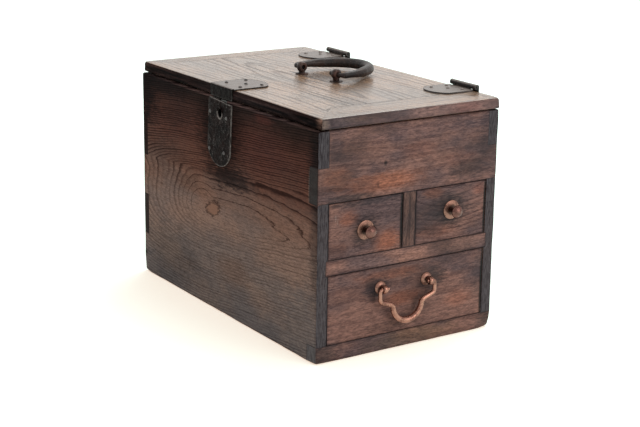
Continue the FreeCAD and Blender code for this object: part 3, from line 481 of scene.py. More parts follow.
@dataclass(frozen=True)
class Rings:
    """Growth rings about a pith line that runs beside the board, in millimetres."""

    width: float = 4.0
    pith_across: float = 0.0
    pith_depth: float = 40.0
    tilt: float = 0.03
    flatness: float = 2.2
    sway: float = 22.0

    def phase(self, along: Signal, across: Signal, sway: Signal, ripple: Signal) -> Phase:
        """Numbers the rings.

        Args:
            along: The place along the grain.
            across: The place across it.
            sway: The noise that the rings wander by.
            ripple: The noise that they waver by, close up.

        Returns:
            The ring number at each place, and no knot.
        """
        offset = across - self.pith_across + sway * self.sway + along * self.tilt
        reach = (offset * offset + self.pith_depth**2 * self.flatness).root()
        return reach / self.width + ripple * RING_RIPPLE, None


@dataclass(frozen=True)
class ArchRings(Rings):
    """Growth rings that a flat board shows as nested arches."""

    centre_along: float = 0.0
    centre_across: float = 0.0
    aspect: float = 0.4

    def phase(self, along: Signal, across: Signal, sway: Signal, ripple: Signal) -> Phase:
        """Numbers the rings.

        Args:
            along: The place along the grain.
            across: The place across it.
            sway: The noise that the rings wander by.
            ripple: The noise that they waver by, close up.

        Returns:
            The ring number at each place, and no knot.
        """
        run = (along - self.centre_along) * self.aspect
        rise = across - self.centre_across + sway * self.sway
        return (run * run + rise * rise).root() / self.width + ripple * RING_RIPPLE, None


@dataclass(frozen=True)
class KnotRings(Rings):
    """Growth rings that part round a knot: wide above it and behind, close below it.

    Each side of the knot has the rings' width there, and how many of them the knot takes up.
    """

    centre_along: float = 20.3
    centre_across: float = 107.5
    slope: float = 0.09
    above: Range = (9.0, 0.55)
    below: Range = (3.0, 5.1)
    behind: Range = (10.0, 3.6)
    ahead: Range = (48.0, 1.5)
    behind_fades: tuple[float, float, float, float] = (25.0, 85.0, 1.0, 0.35)
    crowd_from: float = 40.0
    crowd: float = 0.33
    nearness: Range = (3.6, 2.3)
    near_ripple: float = 0.25
    far_ripple: float = 0.9
    jags_along: float = 0.085
    jags_across: float = 0.30
    jags_detail: Range = (3.0, 0.6)
    jags: float = 0.45
    least_square: float = 0.001

    def phase(self, along: Signal, across: Signal, sway: Signal, ripple: Signal) -> Phase:
        """Numbers the rings.

        Args:
            along: The place along the grain.
            across: The place across it.
            sway: The noise that the rings wander by.
            ripple: The noise that they waver by, close up.

        Returns:
            The ring number at each place, and how near it is to the knot, from 0 to 1.
        """
        run = along - self.centre_along
        rise = across - self.centre_across + run * self.slope + sway * self.sway
        sides = (
            (rise.most(0.0), self.above),
            ((rise * -1.0).most(0.0), self.below),
            (run.most(0.0) * rise.fade(*self.behind_fades), self.behind),
            ((run * -1.0).most(0.0), self.ahead),
        )
        first, *others = [((value / width).square(), taken) for value, (width, taken) in sides]
        total, pull = first[0], first[0] * first[1]
        for square, taken in others:
            total = total + square
            pull = pull + square * taken
        total = total + self.least_square
        number = total.root() - pull / total + (rise - self.crowd_from).most(0.0) * self.crowd
        near = number.fade(*self.nearness)
        tree = along.tree
        where = tree.join(along * self.jags_along, across * self.jags_across, 0.0)
        jags = tree.noise(where, *self.jags_detail) - 0.5
        wavers = ripple * (near.flip() * self.far_ripple + self.near_ripple)
        return number + wavers + jags * near * self.jags, near


@dataclass(frozen=True)
class BoardLook:
    """What sets one board apart from others of its finish."""

    grain: Grain
    seed: float
    rings: Rings = Rings()
    soft_marks: tuple[SoftMark, ...] = ()
    cracks: tuple[Crack, ...] = ()
    zones: Zones | None = None
    end_zones: Zones | None = None
    ring_reach: Callable[[tuple[Signal, ...]], Signal] | float = 1.0
    heart: Heart | None = None
    edge_wear: float = 0.25


@dataclass(frozen=True)
class Figure:
    """Cloudy noise that follows the grain, in cycles per millimetre each way.

    The noise shows between two of its values, and the board's seed shifts it along one of the ways.
    """

    along: float
    across: float
    through: float
    detail: float
    roughness: float
    shows: Range = (0.0, 1.0)
    seeded: Point = (0.0, 0.0, 1.0)


SWAY = Figure(0.007, 0.016, 0.016, 2.0, 0.45, seeded=(1.0, 0.0, 0.0))
RIPPLE = Figure(0.022, 0.10, 0.10, 3.0, 0.5, seeded=(0.0, 1.0, 0.0))
CLOUD = Figure(0.013, 0.026, 0.026, 3.0, 0.55, (0.36, 0.64), (1.0, 0.0, 0.0))
FLECK = Figure(0.11, 0.45, 0.45, 4.0, 0.62)
SPECK = Figure(0.26, 0.95, 0.95, 3.0, 0.65)
FIBRE = Figure(0.020, 0.85, 0.85, 4.0, 0.65, (0.46, 0.72))
PORE = Figure(0.20, 1.1, 1.1, 2.0, 0.6, (0.54, 0.68), (1.0, 0.0, 0.0))
GRIME = Figure(0.011, 0.022, 0.020, 4.0, 0.6, (0.50, 0.70), (3.1, 0.0, 0.0))
RING_DEPTH = Figure(0.83, 0.006, 0.0, 1.0, 0.5, (0.30, 0.62), (1.0, 0.0, 0.0))
END_STREAK = Figure(0.12, 1.1, 0.05, 3.0, 0.6, (0.35, 0.68))

GRIT_FLECKS = 0.45
GRIT_SPECKS = 0.55
GRIT_SHOWS: Range = (0.40, 0.60)
BAND_RISES: Range = (0.38, 0.86)
BAND_FALLS: Range = (1.0, 0.94)
BAND_DEPTHS: Range = (0.25, 1.25)
BAND_FLECKS = 0.8
BAND_GROUND = 0.55
DARKEST_BAND = 0.95
LINE_RISES: Range = (0.84, 0.96)
LINE_FALLS: Range = (1.0, 0.985)
LINE_BREAKS = (0.30, 0.50, 0.50, 0.95)
LINE_DEPTH = 1.7
FIRST_RING: Range = (0.3, 0.6)
PORE_DARKNESS = 1.1
GRIME_FRAYING = 0.3
BORDER_WIDTH = 3.2
BORDER_FRAYING = 5.0
BORDER_DIRT: Colour = (0.35, 0.33, 0.36)
JOINT_SHOWS: Range = (-0.25, -0.85)
JOINT_DIRT = 0.9
WEAR_SHOWS: Range = (0.62, 1.0)
WEAR_FRAYING = 1.1
WORN_WOOD: Colour = (1.9, 1.6, 1.4)
END_FACES: Range = (0.6, 0.85)
END_SHARE = 0.94
END_DARKS: Colour = (0.35, 0.33, 0.34)
BAND_RISE = -0.5
FIBRE_RISE = 0.5
SPECK_RISE = 0.9
PORE_RISE = -0.7
FLECK_RISE = 0.4
COAT_RISE = 0.6
FLECK_ROUGHNESS = 0.22
BAND_ROUGHNESS = 0.05
LEAST_ROUGHNESS = -0.12
DULL_FIBRES: Range = (0.42, 0.72)
BAND_DULLS = 0.5
FIBRE_DULLS = 0.5
PORE_DULLS = 0.6
DULLEST = 0.8
CRACK_DULLS = 0.9


class WoodTree(MaterialTree):
    """Writes one board's material, layer by layer."""

    def __init__(self, name: str, finish: "WoodFinish", look: BoardLook) -> None:
        """Lays out the noises and the growth rings that the layers share.

        Args:
            name: The material's name.
            finish: The board's finish.
            look: The board's grain, seed, rings and marks.
        """
        super().__init__(name)
        self.finish = finish
        self.look = look
        self.xyz = self.places()
        self.ways = tuple(self.xyz[number] for number in look.grain.value)
        self.worn = self.wear()
        self.ripple = self.figure(RIPPLE) - 0.5
        self.cloud = self.figure(replace(CLOUD, across=finish.cloud_across, through=finish.cloud_across))
        self.fleck = self.figure(FLECK)
        self.speck = self.figure(SPECK)
        self.fibre = self.figure(FIBRE)
        self.pores = self.figure(PORE).fade(*PORE.shows)
        self.band = self.late_wood()
        self.joint = self.worn.fade(*JOINT_SHOWS)
        self.ends = self.split(self.coordinates["Normal"])[look.grain.value[0]].size().fade(*END_FACES)

    def figure(self, kind: Figure, *ways: "Signal | float") -> Signal:
        """Lays out one noise.

        Args:
            kind: The noise.
            *ways: The three ways that it follows, where they aren't along, across and through the grain.

        Returns:
            The noise, from 0 to 1.
        """
        scales = (kind.along, kind.across, kind.through)
        parts = [way * cycles for way, cycles in zip(ways or self.ways, scales)]
        shifted = [
            part + self.look.seed * share if share else part for part, share in zip(parts, kind.seeded)]
        return self.noise(self.join(*shifted), kind.detail, kind.roughness)

    def late_wood(self) -> Signal:
        """Finds the dark part of each ring: a soft band, or a thin broken line near a knot.

        Returns:
            How dark the ring is at each place.
        """
        along, across, _ = self.ways
        phase, near = self.look.rings.phase(along, across, self.figure(SWAY) - 0.5, self.ripple)
        saw = phase.fraction()
        depth = self.figure(RING_DEPTH, phase, along, 0.0).fade(*RING_DEPTH.shows, *BAND_DEPTHS)
        band = saw.fade(*BAND_RISES) * saw.fade(*BAND_FALLS) * depth
        if near is None:
            return band
        line = saw.fade(*LINE_RISES) * saw.fade(*LINE_FALLS) * phase.fade(*FIRST_RING)
        return band * near.flip() + line * near * self.fleck.fade(*LINE_BREAKS) * LINE_DEPTH

    def cracks(self) -> Signal | None:
        """Finds the cracks.

        Returns:
            How much of a crack shows at each place, or nothing for a sound board.
        """
        along, across, _ = self.ways
        lines = [crack.cover(along, across, self.ripple) for crack in self.look.cracks]
        return reduce(Signal.most, lines) if lines else None

    def ground(self) -> object:
        """Colours the zones and the soft marks: stains, and painted shade, sheen and reflections.

        Returns:
            The colour.
        """
        zone = self.look.zones(self.xyz, self.fleck, self.cloud) if self.look.zones else self.finish.base
        for soft_mark in self.look.soft_marks:
            zone = self.mix(soft_mark.cover(self.xyz, self.fleck), zone, soft_mark.colour)
        return zone

    def mottled(self, ground: object) -> Socket:
        """Varies the ground with clouds and with grit.

        Args:
            ground: The colour of the zones and stains.

        Returns:
            The varied colour.
        """
        finish = self.finish
        tone = self.mix(self.cloud.fade(*CLOUD.shows), finish.shade, finish.glow)
        colour = self.mix(finish.mottle, ground, self.times(ground, tone))
        grains = (self.fleck * GRIT_FLECKS + self.speck * GRIT_SPECKS).fade(*GRIT_SHOWS)
        grit = self.mix(grains, finish.dim, finish.lit)
        return self.mix(finish.flecks, colour, self.times(colour, grit))

    def figured(self, colour: Socket) -> Socket:
        """Draws the rings, fibres, pores and the knot's heart.

        Args:
            colour: The wood's colour between them.

        Returns:
            The colour with them.
        """
        look, finish = self.look, self.finish
        darker = self.times(colour, finish.line)
        reach = look.ring_reach(self.xyz) if callable(look.ring_reach) else look.ring_reach
        ringed = self.band * (self.fleck * BAND_FLECKS + BAND_GROUND) * reach * finish.ring_strength
        colour = self.mix(ringed.least(DARKEST_BAND), colour, darker)
        colour = self.mix(self.fibre.fade(*FIBRE.shows) * finish.streaks, colour, darker)
        colour = self.mix(self.pores * (finish.streaks * PORE_DARKNESS), colour, darker)
        return self.knotted(colour, darker, look.heart) if look.heart else colour

    def knotted(self, colour: Socket, darker: Socket, heart: Heart) -> Socket:
        """Draws the knot's heart and the dark rim round it.

        Args:
            colour: The colour of the wood round it.
            darker: The colour of its dark lines.
            heart: The knot's heart.

        Returns:
            The colour with the knot.
        """
        along, across, _ = self.ways
        run = (along - heart.along) / heart.long
        rise = (across - heart.across + (along - heart.along) * heart.slope) / heart.high
        fraying = (self.fleck - 0.5) * heart.fraying + (self.speck - 0.5) * heart.fine_fraying
        gap = (run * run + rise * rise).root() + fraying
        colour = self.mix(gap.fade(*heart.edge), colour, heart.colour)
        rim = (gap - heart.rim).size().fade(*heart.rim_edge) * heart.rim_strength
        return self.mix(rim, colour, darker)

    def soiled(self, colour: Socket, ground: object, cracks: Signal | None, box: Box) -> Socket:
        """Adds grime, cracks, dirt along the borders and in joints, and worn edges.

        Args:
            colour: The clean wood's colour.
            ground: The colour of its zones and stains.
            cracks: How much of a crack shows.
            box: The board's low and high corners, in metres.

        Returns:
            The soiled colour.
        """
        finish = self.finish
        grime = (self.figure(GRIME) + (self.fleck - 0.5) * GRIME_FRAYING).fade(*GRIME.shows) * finish.grime
        colour = self.mix(grime, colour, finish.soot)
        if cracks:
            colour = self.mix(cracks, colour, finish.soot)
        low, high = (corner / MM for corner in box)
        first, second, third = (
            (value - start).size().least((value - end).size())
            for value, start, end in zip(self.xyz, low, high))
        border = first.least(second).most(first.most(second).least(third))
        dirt = (border + (self.fleck - 0.5) * BORDER_FRAYING).fade(BORDER_WIDTH, 0.0) * finish.edge_grime
        colour = self.mix(dirt, colour, self.times(colour, BORDER_DIRT))
        colour = self.mix(self.joint * JOINT_DIRT, colour, finish.soot)
        worn = (self.worn + (self.fleck - 0.5) * WEAR_FRAYING).fade(*WEAR_SHOWS) * self.look.edge_wear
        return self.mix(worn, colour, self.times(ground, WORN_WOOD))

    def ended(self, colour: Socket) -> Socket:
        """Turns the faces across the grain to streaky end grain.

        Args:
            colour: The colour of the faces along the grain.

        Returns:
            The colour of all the faces.
        """
        along, across, through = self.ways
        streak = self.figure(END_STREAK, across, through, along)
        zones = self.look.end_zones
        pale = zones(self.xyz, self.fleck, self.cloud) if zones else self.finish.end
        grey = self.mix(streak.fade(*END_STREAK.shows), pale, self.times(pale, END_DARKS))
        return self.mix(self.ends * END_SHARE, colour, grey)

    def height(self) -> Signal:
        """Works out the relief of the rings, fibres, grit and pores.

        Returns:
            The height, as a share of the finish's relief.
        """
        lines = self.band * BAND_RISE + self.fibre * FIBRE_RISE + self.pores * PORE_RISE
        return lines + self.speck * SPECK_RISE + self.fleck * FLECK_RISE

    def roughness(self) -> Signal:
        """The finish's roughness, varied by the flecks and rings."""
        base = self.finish.roughness + LEAST_ROUGHNESS
        return self.fleck * FLECK_ROUGHNESS + self.band * BAND_ROUGHNESS + base

    def shine(self, cracks: Signal | None) -> Signal:
        """Finds where a polish lasts: not on end grain, in joints or in cracks, and less on dark figure.

        Args:
            cracks: How much of a crack shows.

        Returns:
            The share of the polish, from 0 to 1.
        """
        lines = self.band * BAND_DULLS + self.fibre.fade(*DULL_FIBRES) * FIBRE_DULLS
        dull = (lines + self.pores * PORE_DULLS) * self.finish.coat_figure
        shine = self.ends.flip() * dull.least(DULLEST).flip() * self.joint.flip()
        return shine * (cracks * CRACK_DULLS).flip() if cracks else shine


@dataclass(frozen=True)
class WoodFinish:
    """How one kind of board looks: its colours, its rings and its polish."""

    base: Colour
    glow: Colour = (1.45, 1.20, 0.95)
    shade: Colour = (0.58, 0.60, 0.68)
    line: Colour = (0.36, 0.33, 0.36)
    soot: Colour = (0.022, 0.017, 0.018)
    end: Colour = (0.060, 0.055, 0.058)
    dim: Colour = (0.66, 0.64, 0.66)
    lit: Colour = (1.34, 1.30, 1.24)
    flecks: float = 0.8
    ring_strength: float = 0.5
    streaks: float = 0.4
    mottle: float = 0.5
    grime: float = 0.45
    edge_grime: float = 0.5
    roughness: float = 0.55
    specular: float = 0.3
    coat: float = 0.0
    coat_roughness: float = 0.22
    coat_figure: float = 0.5
    relief: float = 0.00016
    cloud_across: float = 0.026

    def material(self, name: str, look: BoardLook, box: Box) -> bpy.types.Material:
        """Makes the finish for one board.

        Args:
            name: The material's name.
            look: The board's grain, seed, rings and marks.
            box: The board's low and high corners, in metres.

        Returns:
            The material.
        """
        wood = WoodTree(name, self, look)
        ground, cracks, height = wood.ground(), wood.cracks(), wood.height()
        colour = wood.soiled(wood.figured(wood.mottled(ground)), ground, cracks, box)
        sockets = {
            "Base_Color": wood.ended(colour),
            "Roughness": wood.roughness(),
            "Specular_IOR_Level": self.specular,
            "Normal": wood.bump(height, self.relief),
        }
        if self.coat:
            sockets["Coat_Weight"] = wood.shine(cracks) * self.coat
            sockets["Coat_Roughness"] = self.coat_roughness
            sockets["Coat_Normal"] = wood.bump(height, self.relief * COAT_RISE)
        return wood.surface(**sockets)


CASE_WOOD = WoodFinish(
    base=(0.184, 0.116, 0.104),
    glow=(1.42, 1.18, 1.0),
    end=(0.078, 0.071, 0.075),
    ring_strength=0.35,
    mottle=0.8,
    flecks=0.9,
    streaks=0.45,
    grime=0.55,
    roughness=0.62,
    specular=0.16,
    relief=0.00026,
)
SIDE_WOOD = WoodFinish(
    base=(0.185, 0.118, 0.086),
    glow=(1.25, 1.10, 0.96),
    shade=(0.76, 0.80, 0.84),
    line=(0.20, 0.17, 0.18),
    dim=(0.78, 0.77, 0.78),
    lit=(1.20, 1.18, 1.15),
    ring_strength=0.75,
    mottle=0.45,
    streaks=0.35,
    grime=0.1,
    end=(0.104, 0.096, 0.100),
    roughness=0.7,
    specular=0.02,
    relief=0.00028,
)
# The lid's top: its light brown is partly the wood's colour and partly painted sheen, over the coat's real
# reflection.
LID_WOOD = WoodFinish(
    base=(0.270, 0.170, 0.094),
    glow=(1.30, 1.16, 1.0),
    shade=(0.60, 0.62, 0.66),
    ring_strength=0.85,
    mottle=0.8,
    streaks=0.6,
    grime=0.35,
    roughness=0.42,
    specular=0.4,
    coat=1.0,
    coat_roughness=0.17,
    coat_figure=0.62,
    relief=0.00012,
)
LID_EDGE = WoodFinish(
    base=(0.023, 0.0155, 0.0145),
    glow=(2.6, 2.1, 1.9),
    shade=(0.22, 0.20, 0.21),
    end=(0.05, 0.04, 0.036),
    ring_strength=0.8,
    mottle=1.0,
    streaks=0.7,
    cloud_across=0.22,
    roughness=0.7,
    specular=0.02,
)
LID_FRONT_EDGE = WoodFinish(
    base=(0.176, 0.124, 0.119),
    glow=(1.5, 1.25, 1.1),
    shade=(0.5, 0.5, 0.55),
    ring_strength=0.6,
    mottle=0.9,
    streaks=0.5,
    roughness=0.6,
    specular=0.2,
)
INNER_WOOD = WoodFinish(
    base=(0.36, 0.235, 0.14),
    glow=(1.12, 1.08, 1.0),
    shade=(0.84, 0.82, 0.80),
    dim=(0.86, 0.85, 0.84),
    lit=(1.12, 1.11, 1.10),
    line=(0.62, 0.55, 0.50),
    soot=(0.12, 0.08, 0.055),
    end=(0.26, 0.17, 0.11),
    streaks=0.3,
    grime=0.4,
    roughness=0.64,
)

# metal

SCALE_CLOUDS = (4.0, 0.6, 0.11)
PITS = (5.0, 0.7, 0.7)
DENT_SCALE = 0.26
RUST_SHOWS: Range = (0.42, 0.64)
GLINTS_SHOW: Range = (0.64, 0.86)
RUBBED_SHOWS: Range = (0.62, 0.92)
PATINA_CLOUDS = (4.0, 0.6, 0.15)
TARNISH = (4.0, 0.6, 0.8)
BROWN_SHOWS: Range = (0.42, 0.66)
BLACK_SHOWS: Range = (0.62, 0.80)
BRIGHT_SHOWS: Range = (0.5, 1.0)
POST_SHADOW_EDGE: Range = (1.15, 0.7)
RUBBED_PATCHES = (0.42, 0.60, 0.5, 1.0)
COAT_PATCHES = (0.35, 0.6, 0.75, 1.0)


@dataclass(frozen=True)
class IronFinish:
    """Forged iron: black scale, brown rust in the pits, rubbed rims and painted glints on the high places."""

    scale: Colour = (0.016, 0.014, 0.014)
    rust: Colour = (0.050, 0.030, 0.024)
    rubbed_and_glint: Colour = (0.11, 0.10, 0.095)
    roughness: float = 0.34
    specular: float = 0.22
    pitting: float = 0.00022
    rim: float = 0.7
    glints: float = 0.8
    coat: float = 0.0
    coat_roughness: float = 0.3
    coat_pitting: float = 0.5
    cloud_rust: float = 0.6
    pit_rust: float = 0.4
    rust_cover: float = 0.85
    dent_glints: float = 0.25
    rim_fraying: float = 0.5
    pit_depth: float = 0.7
    dent_depth: float = 1.2
    rim_metal: float = 0.4
    scale_metal: float = 0.1
    cloud_roughness: float = 0.25
    pit_roughness: float = 0.2
    least_roughness: float = -0.2

    def material(self, name: str) -> bpy.types.Material:
        """Makes the finish.

        Args:
            name: The material's name.

        Returns:
            The material.
        """
        tree = MaterialTree(name)
        where = tree.join(*tree.places())
        cloud, pits = tree.noise(where, *SCALE_CLOUDS), tree.noise(where, *PITS)
        dents, wear = tree.dents(where, DENT_SCALE), tree.wear()
        rusty = (cloud * self.cloud_rust + pits * self.pit_rust).fade(*RUST_SHOWS) * self.rust_cover
        colour = tree.mix(rusty, self.scale, self.rust)
        # Painted glints: the high pits and dents take the light rubbed colour.
        bright = (pits + dents * self.dent_glints).fade(*GLINTS_SHOW) * self.glints
        colour = tree.mix(bright, colour, self.rubbed_and_glint)
        rim = (wear + (pits - 0.5) * self.rim_fraying).fade(*RUBBED_SHOWS)
        colour = tree.mix(rim * (cloud.fade(*RUBBED_PATCHES) * self.rim), colour, self.rubbed_and_glint)
        height = pits * self.pit_depth + dents * self.dent_depth
        base = self.roughness + self.least_roughness
        sockets = {
            "Base_Color": colour,
            "Metallic": wear.most(0.0) * self.rim_metal + self.scale_metal,
            "Specular_IOR_Level": self.specular,
            "Roughness": cloud * self.cloud_roughness + pits * self.pit_roughness + base,
            "Normal": tree.bump(height, self.pitting),
        }
        if self.coat:
            sockets["Coat_Weight"] = pits.fade(*COAT_PATCHES) * self.coat
            sockets["Coat_Roughness"] = self.coat_roughness
            sockets["Coat_Normal"] = tree.bump(height, self.pitting * self.coat_pitting)
        return tree.surface(**sockets)


@dataclass(frozen=True)
class CopperFinish:
    """Old copper: warm where hands rub it, brown to black in patches, with painted shadow round the posts that
    stand in it.
    """

    bright: Colour = (0.275, 0.138, 0.102)
    brown: Colour = (0.120, 0.055, 0.043)
    black: Colour = (0.028, 0.015, 0.012)
    roughness: float = 0.36
    metal: float = 0.9
    relief: float = 0.12 * MM
    brown_fraying: float = 0.5
    cloud_black: float = 0.6
    fine_black: float = 0.5
    black_cover: float = 0.8
    bright_cover: float = 0.6
    shadow_fraying: float = 0.5
    shadow_cover: float = 0.85
    roughness_share: float = 0.2

    def material(self, name: str, posts: tuple[Spot, ...] = (),
                 dark_reach: float = 1.0) -> bpy.types.Material:
        """Makes the finish.

        Args:
            name: The material's name.
            posts: Across and up places of posts, in millimetres.
            dark_reach: How far the painted shadow round each post reaches.

        Returns:
            The material.
        """
        tree = MaterialTree(name)
        x, y, z = tree.places()
        where = tree.join(x, y, z)
        cloud, fine = tree.noise(where, *PATINA_CLOUDS), tree.noise(where, *TARNISH)
        ragged = fine - 0.5
        colour = tree.mix((cloud + ragged * self.brown_fraying).fade(*BROWN_SHOWS), self.bright, self.brown)
        sooty = (cloud * self.cloud_black + fine * self.fine_black).fade(*BLACK_SHOWS) * self.black_cover
        colour = tree.mix(sooty, colour, self.black)
        colour = tree.mix((tree.wear() + ragged).fade(*BRIGHT_SHOWS) * self.bright_cover, colour, self.bright)
        # Painted shadow round each post, darkest next to it.
        for across, up in posts:
            gap = ((x - across).square() + (z - up).square()).root() / dark_reach
            dark = (gap + ragged * self.shadow_fraying).fade(*POST_SHADOW_EDGE) * self.shadow_cover
            colour = tree.mix(dark, colour, self.black)
        share = self.roughness_share
        return tree.surface(
            Base_Color=colour,
            Metallic=self.metal,
            Roughness=fine * share + cloud * share + (self.roughness - share),
            Normal=tree.bump(fine + cloud, self.relief),
        )


IRON = IronFinish()
POST_IRON = IronFinish(rust=(0.110, 0.050, 0.036), scale=(0.022, 0.015, 0.013))
# Up-facing faces of the strap and leaves: the pale scale is rust and painted sheen, over the coat's real
# reflection; their sides get darker iron.
LEAF_IRON = IronFinish(
    scale=(0.105, 0.082, 0.068),
    rust=(0.120, 0.082, 0.062),
    roughness=0.42,
    coat=0.74,
    coat_roughness=0.32,
    pitting=0.0004,
)
LOCK_IRON = IronFinish(
    scale=(0.0050, 0.0022, 0.0022),
    rust=(0.018, 0.0085, 0.007),
    rubbed_and_glint=(0.22, 0.19, 0.175),
    roughness=0.5,
    specular=0.015,
    pitting=0.0007,
    rim=1.0,
    glints=0.75,
)
STRAP_IRON = IronFinish(
    scale=(0.006, 0.004, 0.004),
    rust=(0.016, 0.010, 0.009),
    rubbed_and_glint=(0.16, 0.145, 0.13),
    roughness=0.45,
    specular=0.015,
    pitting=0.0007,
    rim=0.25,
    glints=0.35,
)
# The lock plate's nails: their pale scale is a painted highlight on the heads.
NAIL_IRON = IronFinish(
    scale=(0.10, 0.092, 0.088),
    rust=(0.05, 0.04, 0.035),
    rubbed_and_glint=(0.3, 0.28, 0.26),
    specular=0.4,
)
COPPER = CopperFinish()
PULL_COPPER = CopperFinish(bright=(0.370, 0.182, 0.132), brown=(0.190, 0.088, 0.066), roughness=0.27)
KNOB_COPPER = CopperFinish(bright=(0.170, 0.082, 0.066), brown=(0.085, 0.038, 0.031), roughness=0.27)

# pieces

SEED_ACROSS = 0.37
SEED_UP = -0.71


def body_of(node: str) -> str:
    """The body that a node of the frame moves with."""
    bodies = frame["record"]["behaviour"]["bodies"]
    return next(body for body, nodes in bodies.items() if node in nodes)


def slot_of(node: str) -> str:
    """The record's finish of a node."""
    subparts = frame["record"]["subparts"]
    return next(item["material_slot"] for item in subparts if item["node"] == node)


def wobble(point: Vector, scale: float, seed: float) -> float:
    """A smooth number from -1 to 1 for a place, in metres."""
    return noise.noise(point * scale + Vector((seed, seed * SEED_ACROSS, seed * SEED_UP)))


def joint_box(*nodes: str) -> Box:
    """Finds the box round several nodes.

    Args:
        *nodes: The nodes' names.

    Returns:
        Its low and high corners, in metres.
    """
    corners = [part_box(node) for node in nodes]
    low = Vector([min(pair[0][axis] for pair in corners) for axis in range(3)])
    high = Vector([max(pair[1][axis] for pair in corners) for axis in range(3)])
    return low, high


@dataclass
class Piece:
    """A mesh that stands for nodes of the frame and moves with their body."""

    name: str
    mesh: bmesh.types.BMesh
    nodes: tuple[str, ...]
    material: bpy.types.Material
    rim_material: bpy.types.Material | None = None
    smooth_angle: float = math.radians(40)
    stands_in: bool = True

    def finish(self) -> bpy.types.Object:
        """Turns the mesh into an object on its body, in place of its nodes.

        Returns:
            The object.
        """
        bmesh.ops.recalc_face_normals(self.mesh, faces=self.mesh.faces)
        data = bpy.data.meshes.new(self.name)
        self.mesh.to_mesh(data)
        self.mesh.free()
        item = bpy.data.objects.new(self.name, data)
        bpy.context.scene.collection.objects.link(item)
        for material in filter(None, (self.material, self.rim_material)):
            data.materials.append(material)
        for face in data.polygons:
            face.use_smooth = True
        data.set_sharp_from_angle(angle=self.smooth_angle)
        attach(item, body_of(self.nodes[0]))
        slot_of(self.nodes[0])
        if self.stands_in:
            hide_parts(*self.nodes)
        log.info("%s, %d faces, on %s", self.name, len(data.polygons), body_of(self.nodes[0]))
        return item


MERGE_DISTANCE = 1e-6
CUT_DISTANCE = 1e-7
CUT_MARGIN = 1e-5
FLAT_ANGLE = math.radians(0.5)
SHARP_ANGLE = math.radians(35)
STRAIGHT_LENGTH = 4 * MM
STRAIGHT_WITHIN = 1e-6
PLACE_DIGITS = 5
FACING = 0.6
OUTER_REACH = 1.2 * MM
JOINT_REACH = 0.6 * MM
EDGE_SEGMENTS = 2


def solid_copy(node: str) -> bmesh.types.BMesh:
    """Copies a node's mesh, merged, with its flat faces whole.

    Args:
        node: The node's name.

    Returns:
        The copy.
    """
    mesh = bmesh.new()
    mesh.from_mesh(frame["nodes"][node].data)
    mesh.verts.layers.float.new(WEAR)
    bmesh.ops.remove_doubles(mesh, verts=mesh.verts, dist=MERGE_DISTANCE)
    bmesh.ops.dissolve_limit(mesh, angle_limit=FLAT_ANGLE, verts=mesh.verts, edges=mesh.edges)
    return mesh


def slice_mesh(mesh: bmesh.types.BMesh, axis: int, places: list[float]) -> None:
    """Cuts a mesh by planes across one axis.

    Args:
        mesh: The mesh to cut.
        axis: The axis that the planes lie across.
        places: Where they lie on it.
    """
    normal = Vector((0, 0, 0))
    normal[axis] = 1
    for place in places:
        geometry = mesh.verts[:] + mesh.edges[:] + mesh.faces[:]
        bmesh.ops.bisect_plane(
            mesh, geom=geometry, dist=CUT_DISTANCE, plane_co=normal * place, plane_no=normal)


def cut_into_cells(mesh: bmesh.types.BMesh, pitch: float, box: Box | None = None,
                   rims: tuple[float, ...] = ()) -> None:
    """Cuts a mesh by planes across each axis, about this far apart.

    Args:
        mesh: The mesh to cut.
        pitch: The distance between the planes, in metres.
        box: Low and high corners of a box whose faces get closer planes.
        rims: How far those planes lie inside the box's faces.
    """
    for axis in range(3):
        values = [vertex.co[axis] for vertex in mesh.verts]
        low, high = min(values), max(values)
        count = max(1, round((high - low) / pitch))
        places = [low + (high - low) * number / count for number in range(1, count)]
        if box:
            places += [box[0][axis] + rim for rim in rims] + [box[1][axis] - rim for rim in rims]
        slice_mesh(mesh, axis, [place for place in places if low + CUT_MARGIN < place < high - CUT_MARGIN])


def straight_places(mesh: bmesh.types.BMesh) -> list[list[float]]:
    """Finds where the long straight edges of a mesh lie.

    Args:
        mesh: The mesh.

    Returns:
        Their places on each axis, in order.
    """
    places: list[set[float]] = [set(), set(), set()]
    for edge in mesh.edges:
        run = edge.verts[1].co - edge.verts[0].co
        across = [axis for axis in range(3) if abs(run[axis]) < STRAIGHT_WITHIN]
        if run.length > STRAIGHT_LENGTH and len(across) == 2:
            for axis in across:
                places[axis].add(round(edge.verts[0].co[axis], PLACE_DIGITS))
    return [sorted(values) for values in places]


def ease_edges(mesh: bmesh.types.BMesh, width: float) -> list[bmesh.types.BMVert]:
    """Bevels every sharp edge.

    Args:
        mesh: The mesh.
        width: The bevel's width in metres.

    Returns:
        The vertices on the bevels.
    """
    sharp = [
        edge for edge in mesh.edges
        if len(edge.link_faces) == 2 and edge.calc_face_angle(0) > SHARP_ANGLE]
    made = bmesh.ops.bevel(
        mesh, geom=sharp, offset=width, offset_type="OFFSET", segments=EDGE_SEGMENTS, profile=0.5,
        affect="EDGES", clamp_overlap=True, material=-1,
    )
    return list({vertex for face in made["faces"] if face.is_valid for vertex in face.verts})


def count_near(point: Vector, places: list[list[float]], reach: float) -> int:
    """Counts the axes on which a point lies near one of some places.

    Args:
        point: The point.
        places: The places on each axis.
        reach: How near counts.

    Returns:
        How many axes.
    """
    return sum(any(abs(point[axis] - place) < reach for place in places[axis]) for axis in range(3))


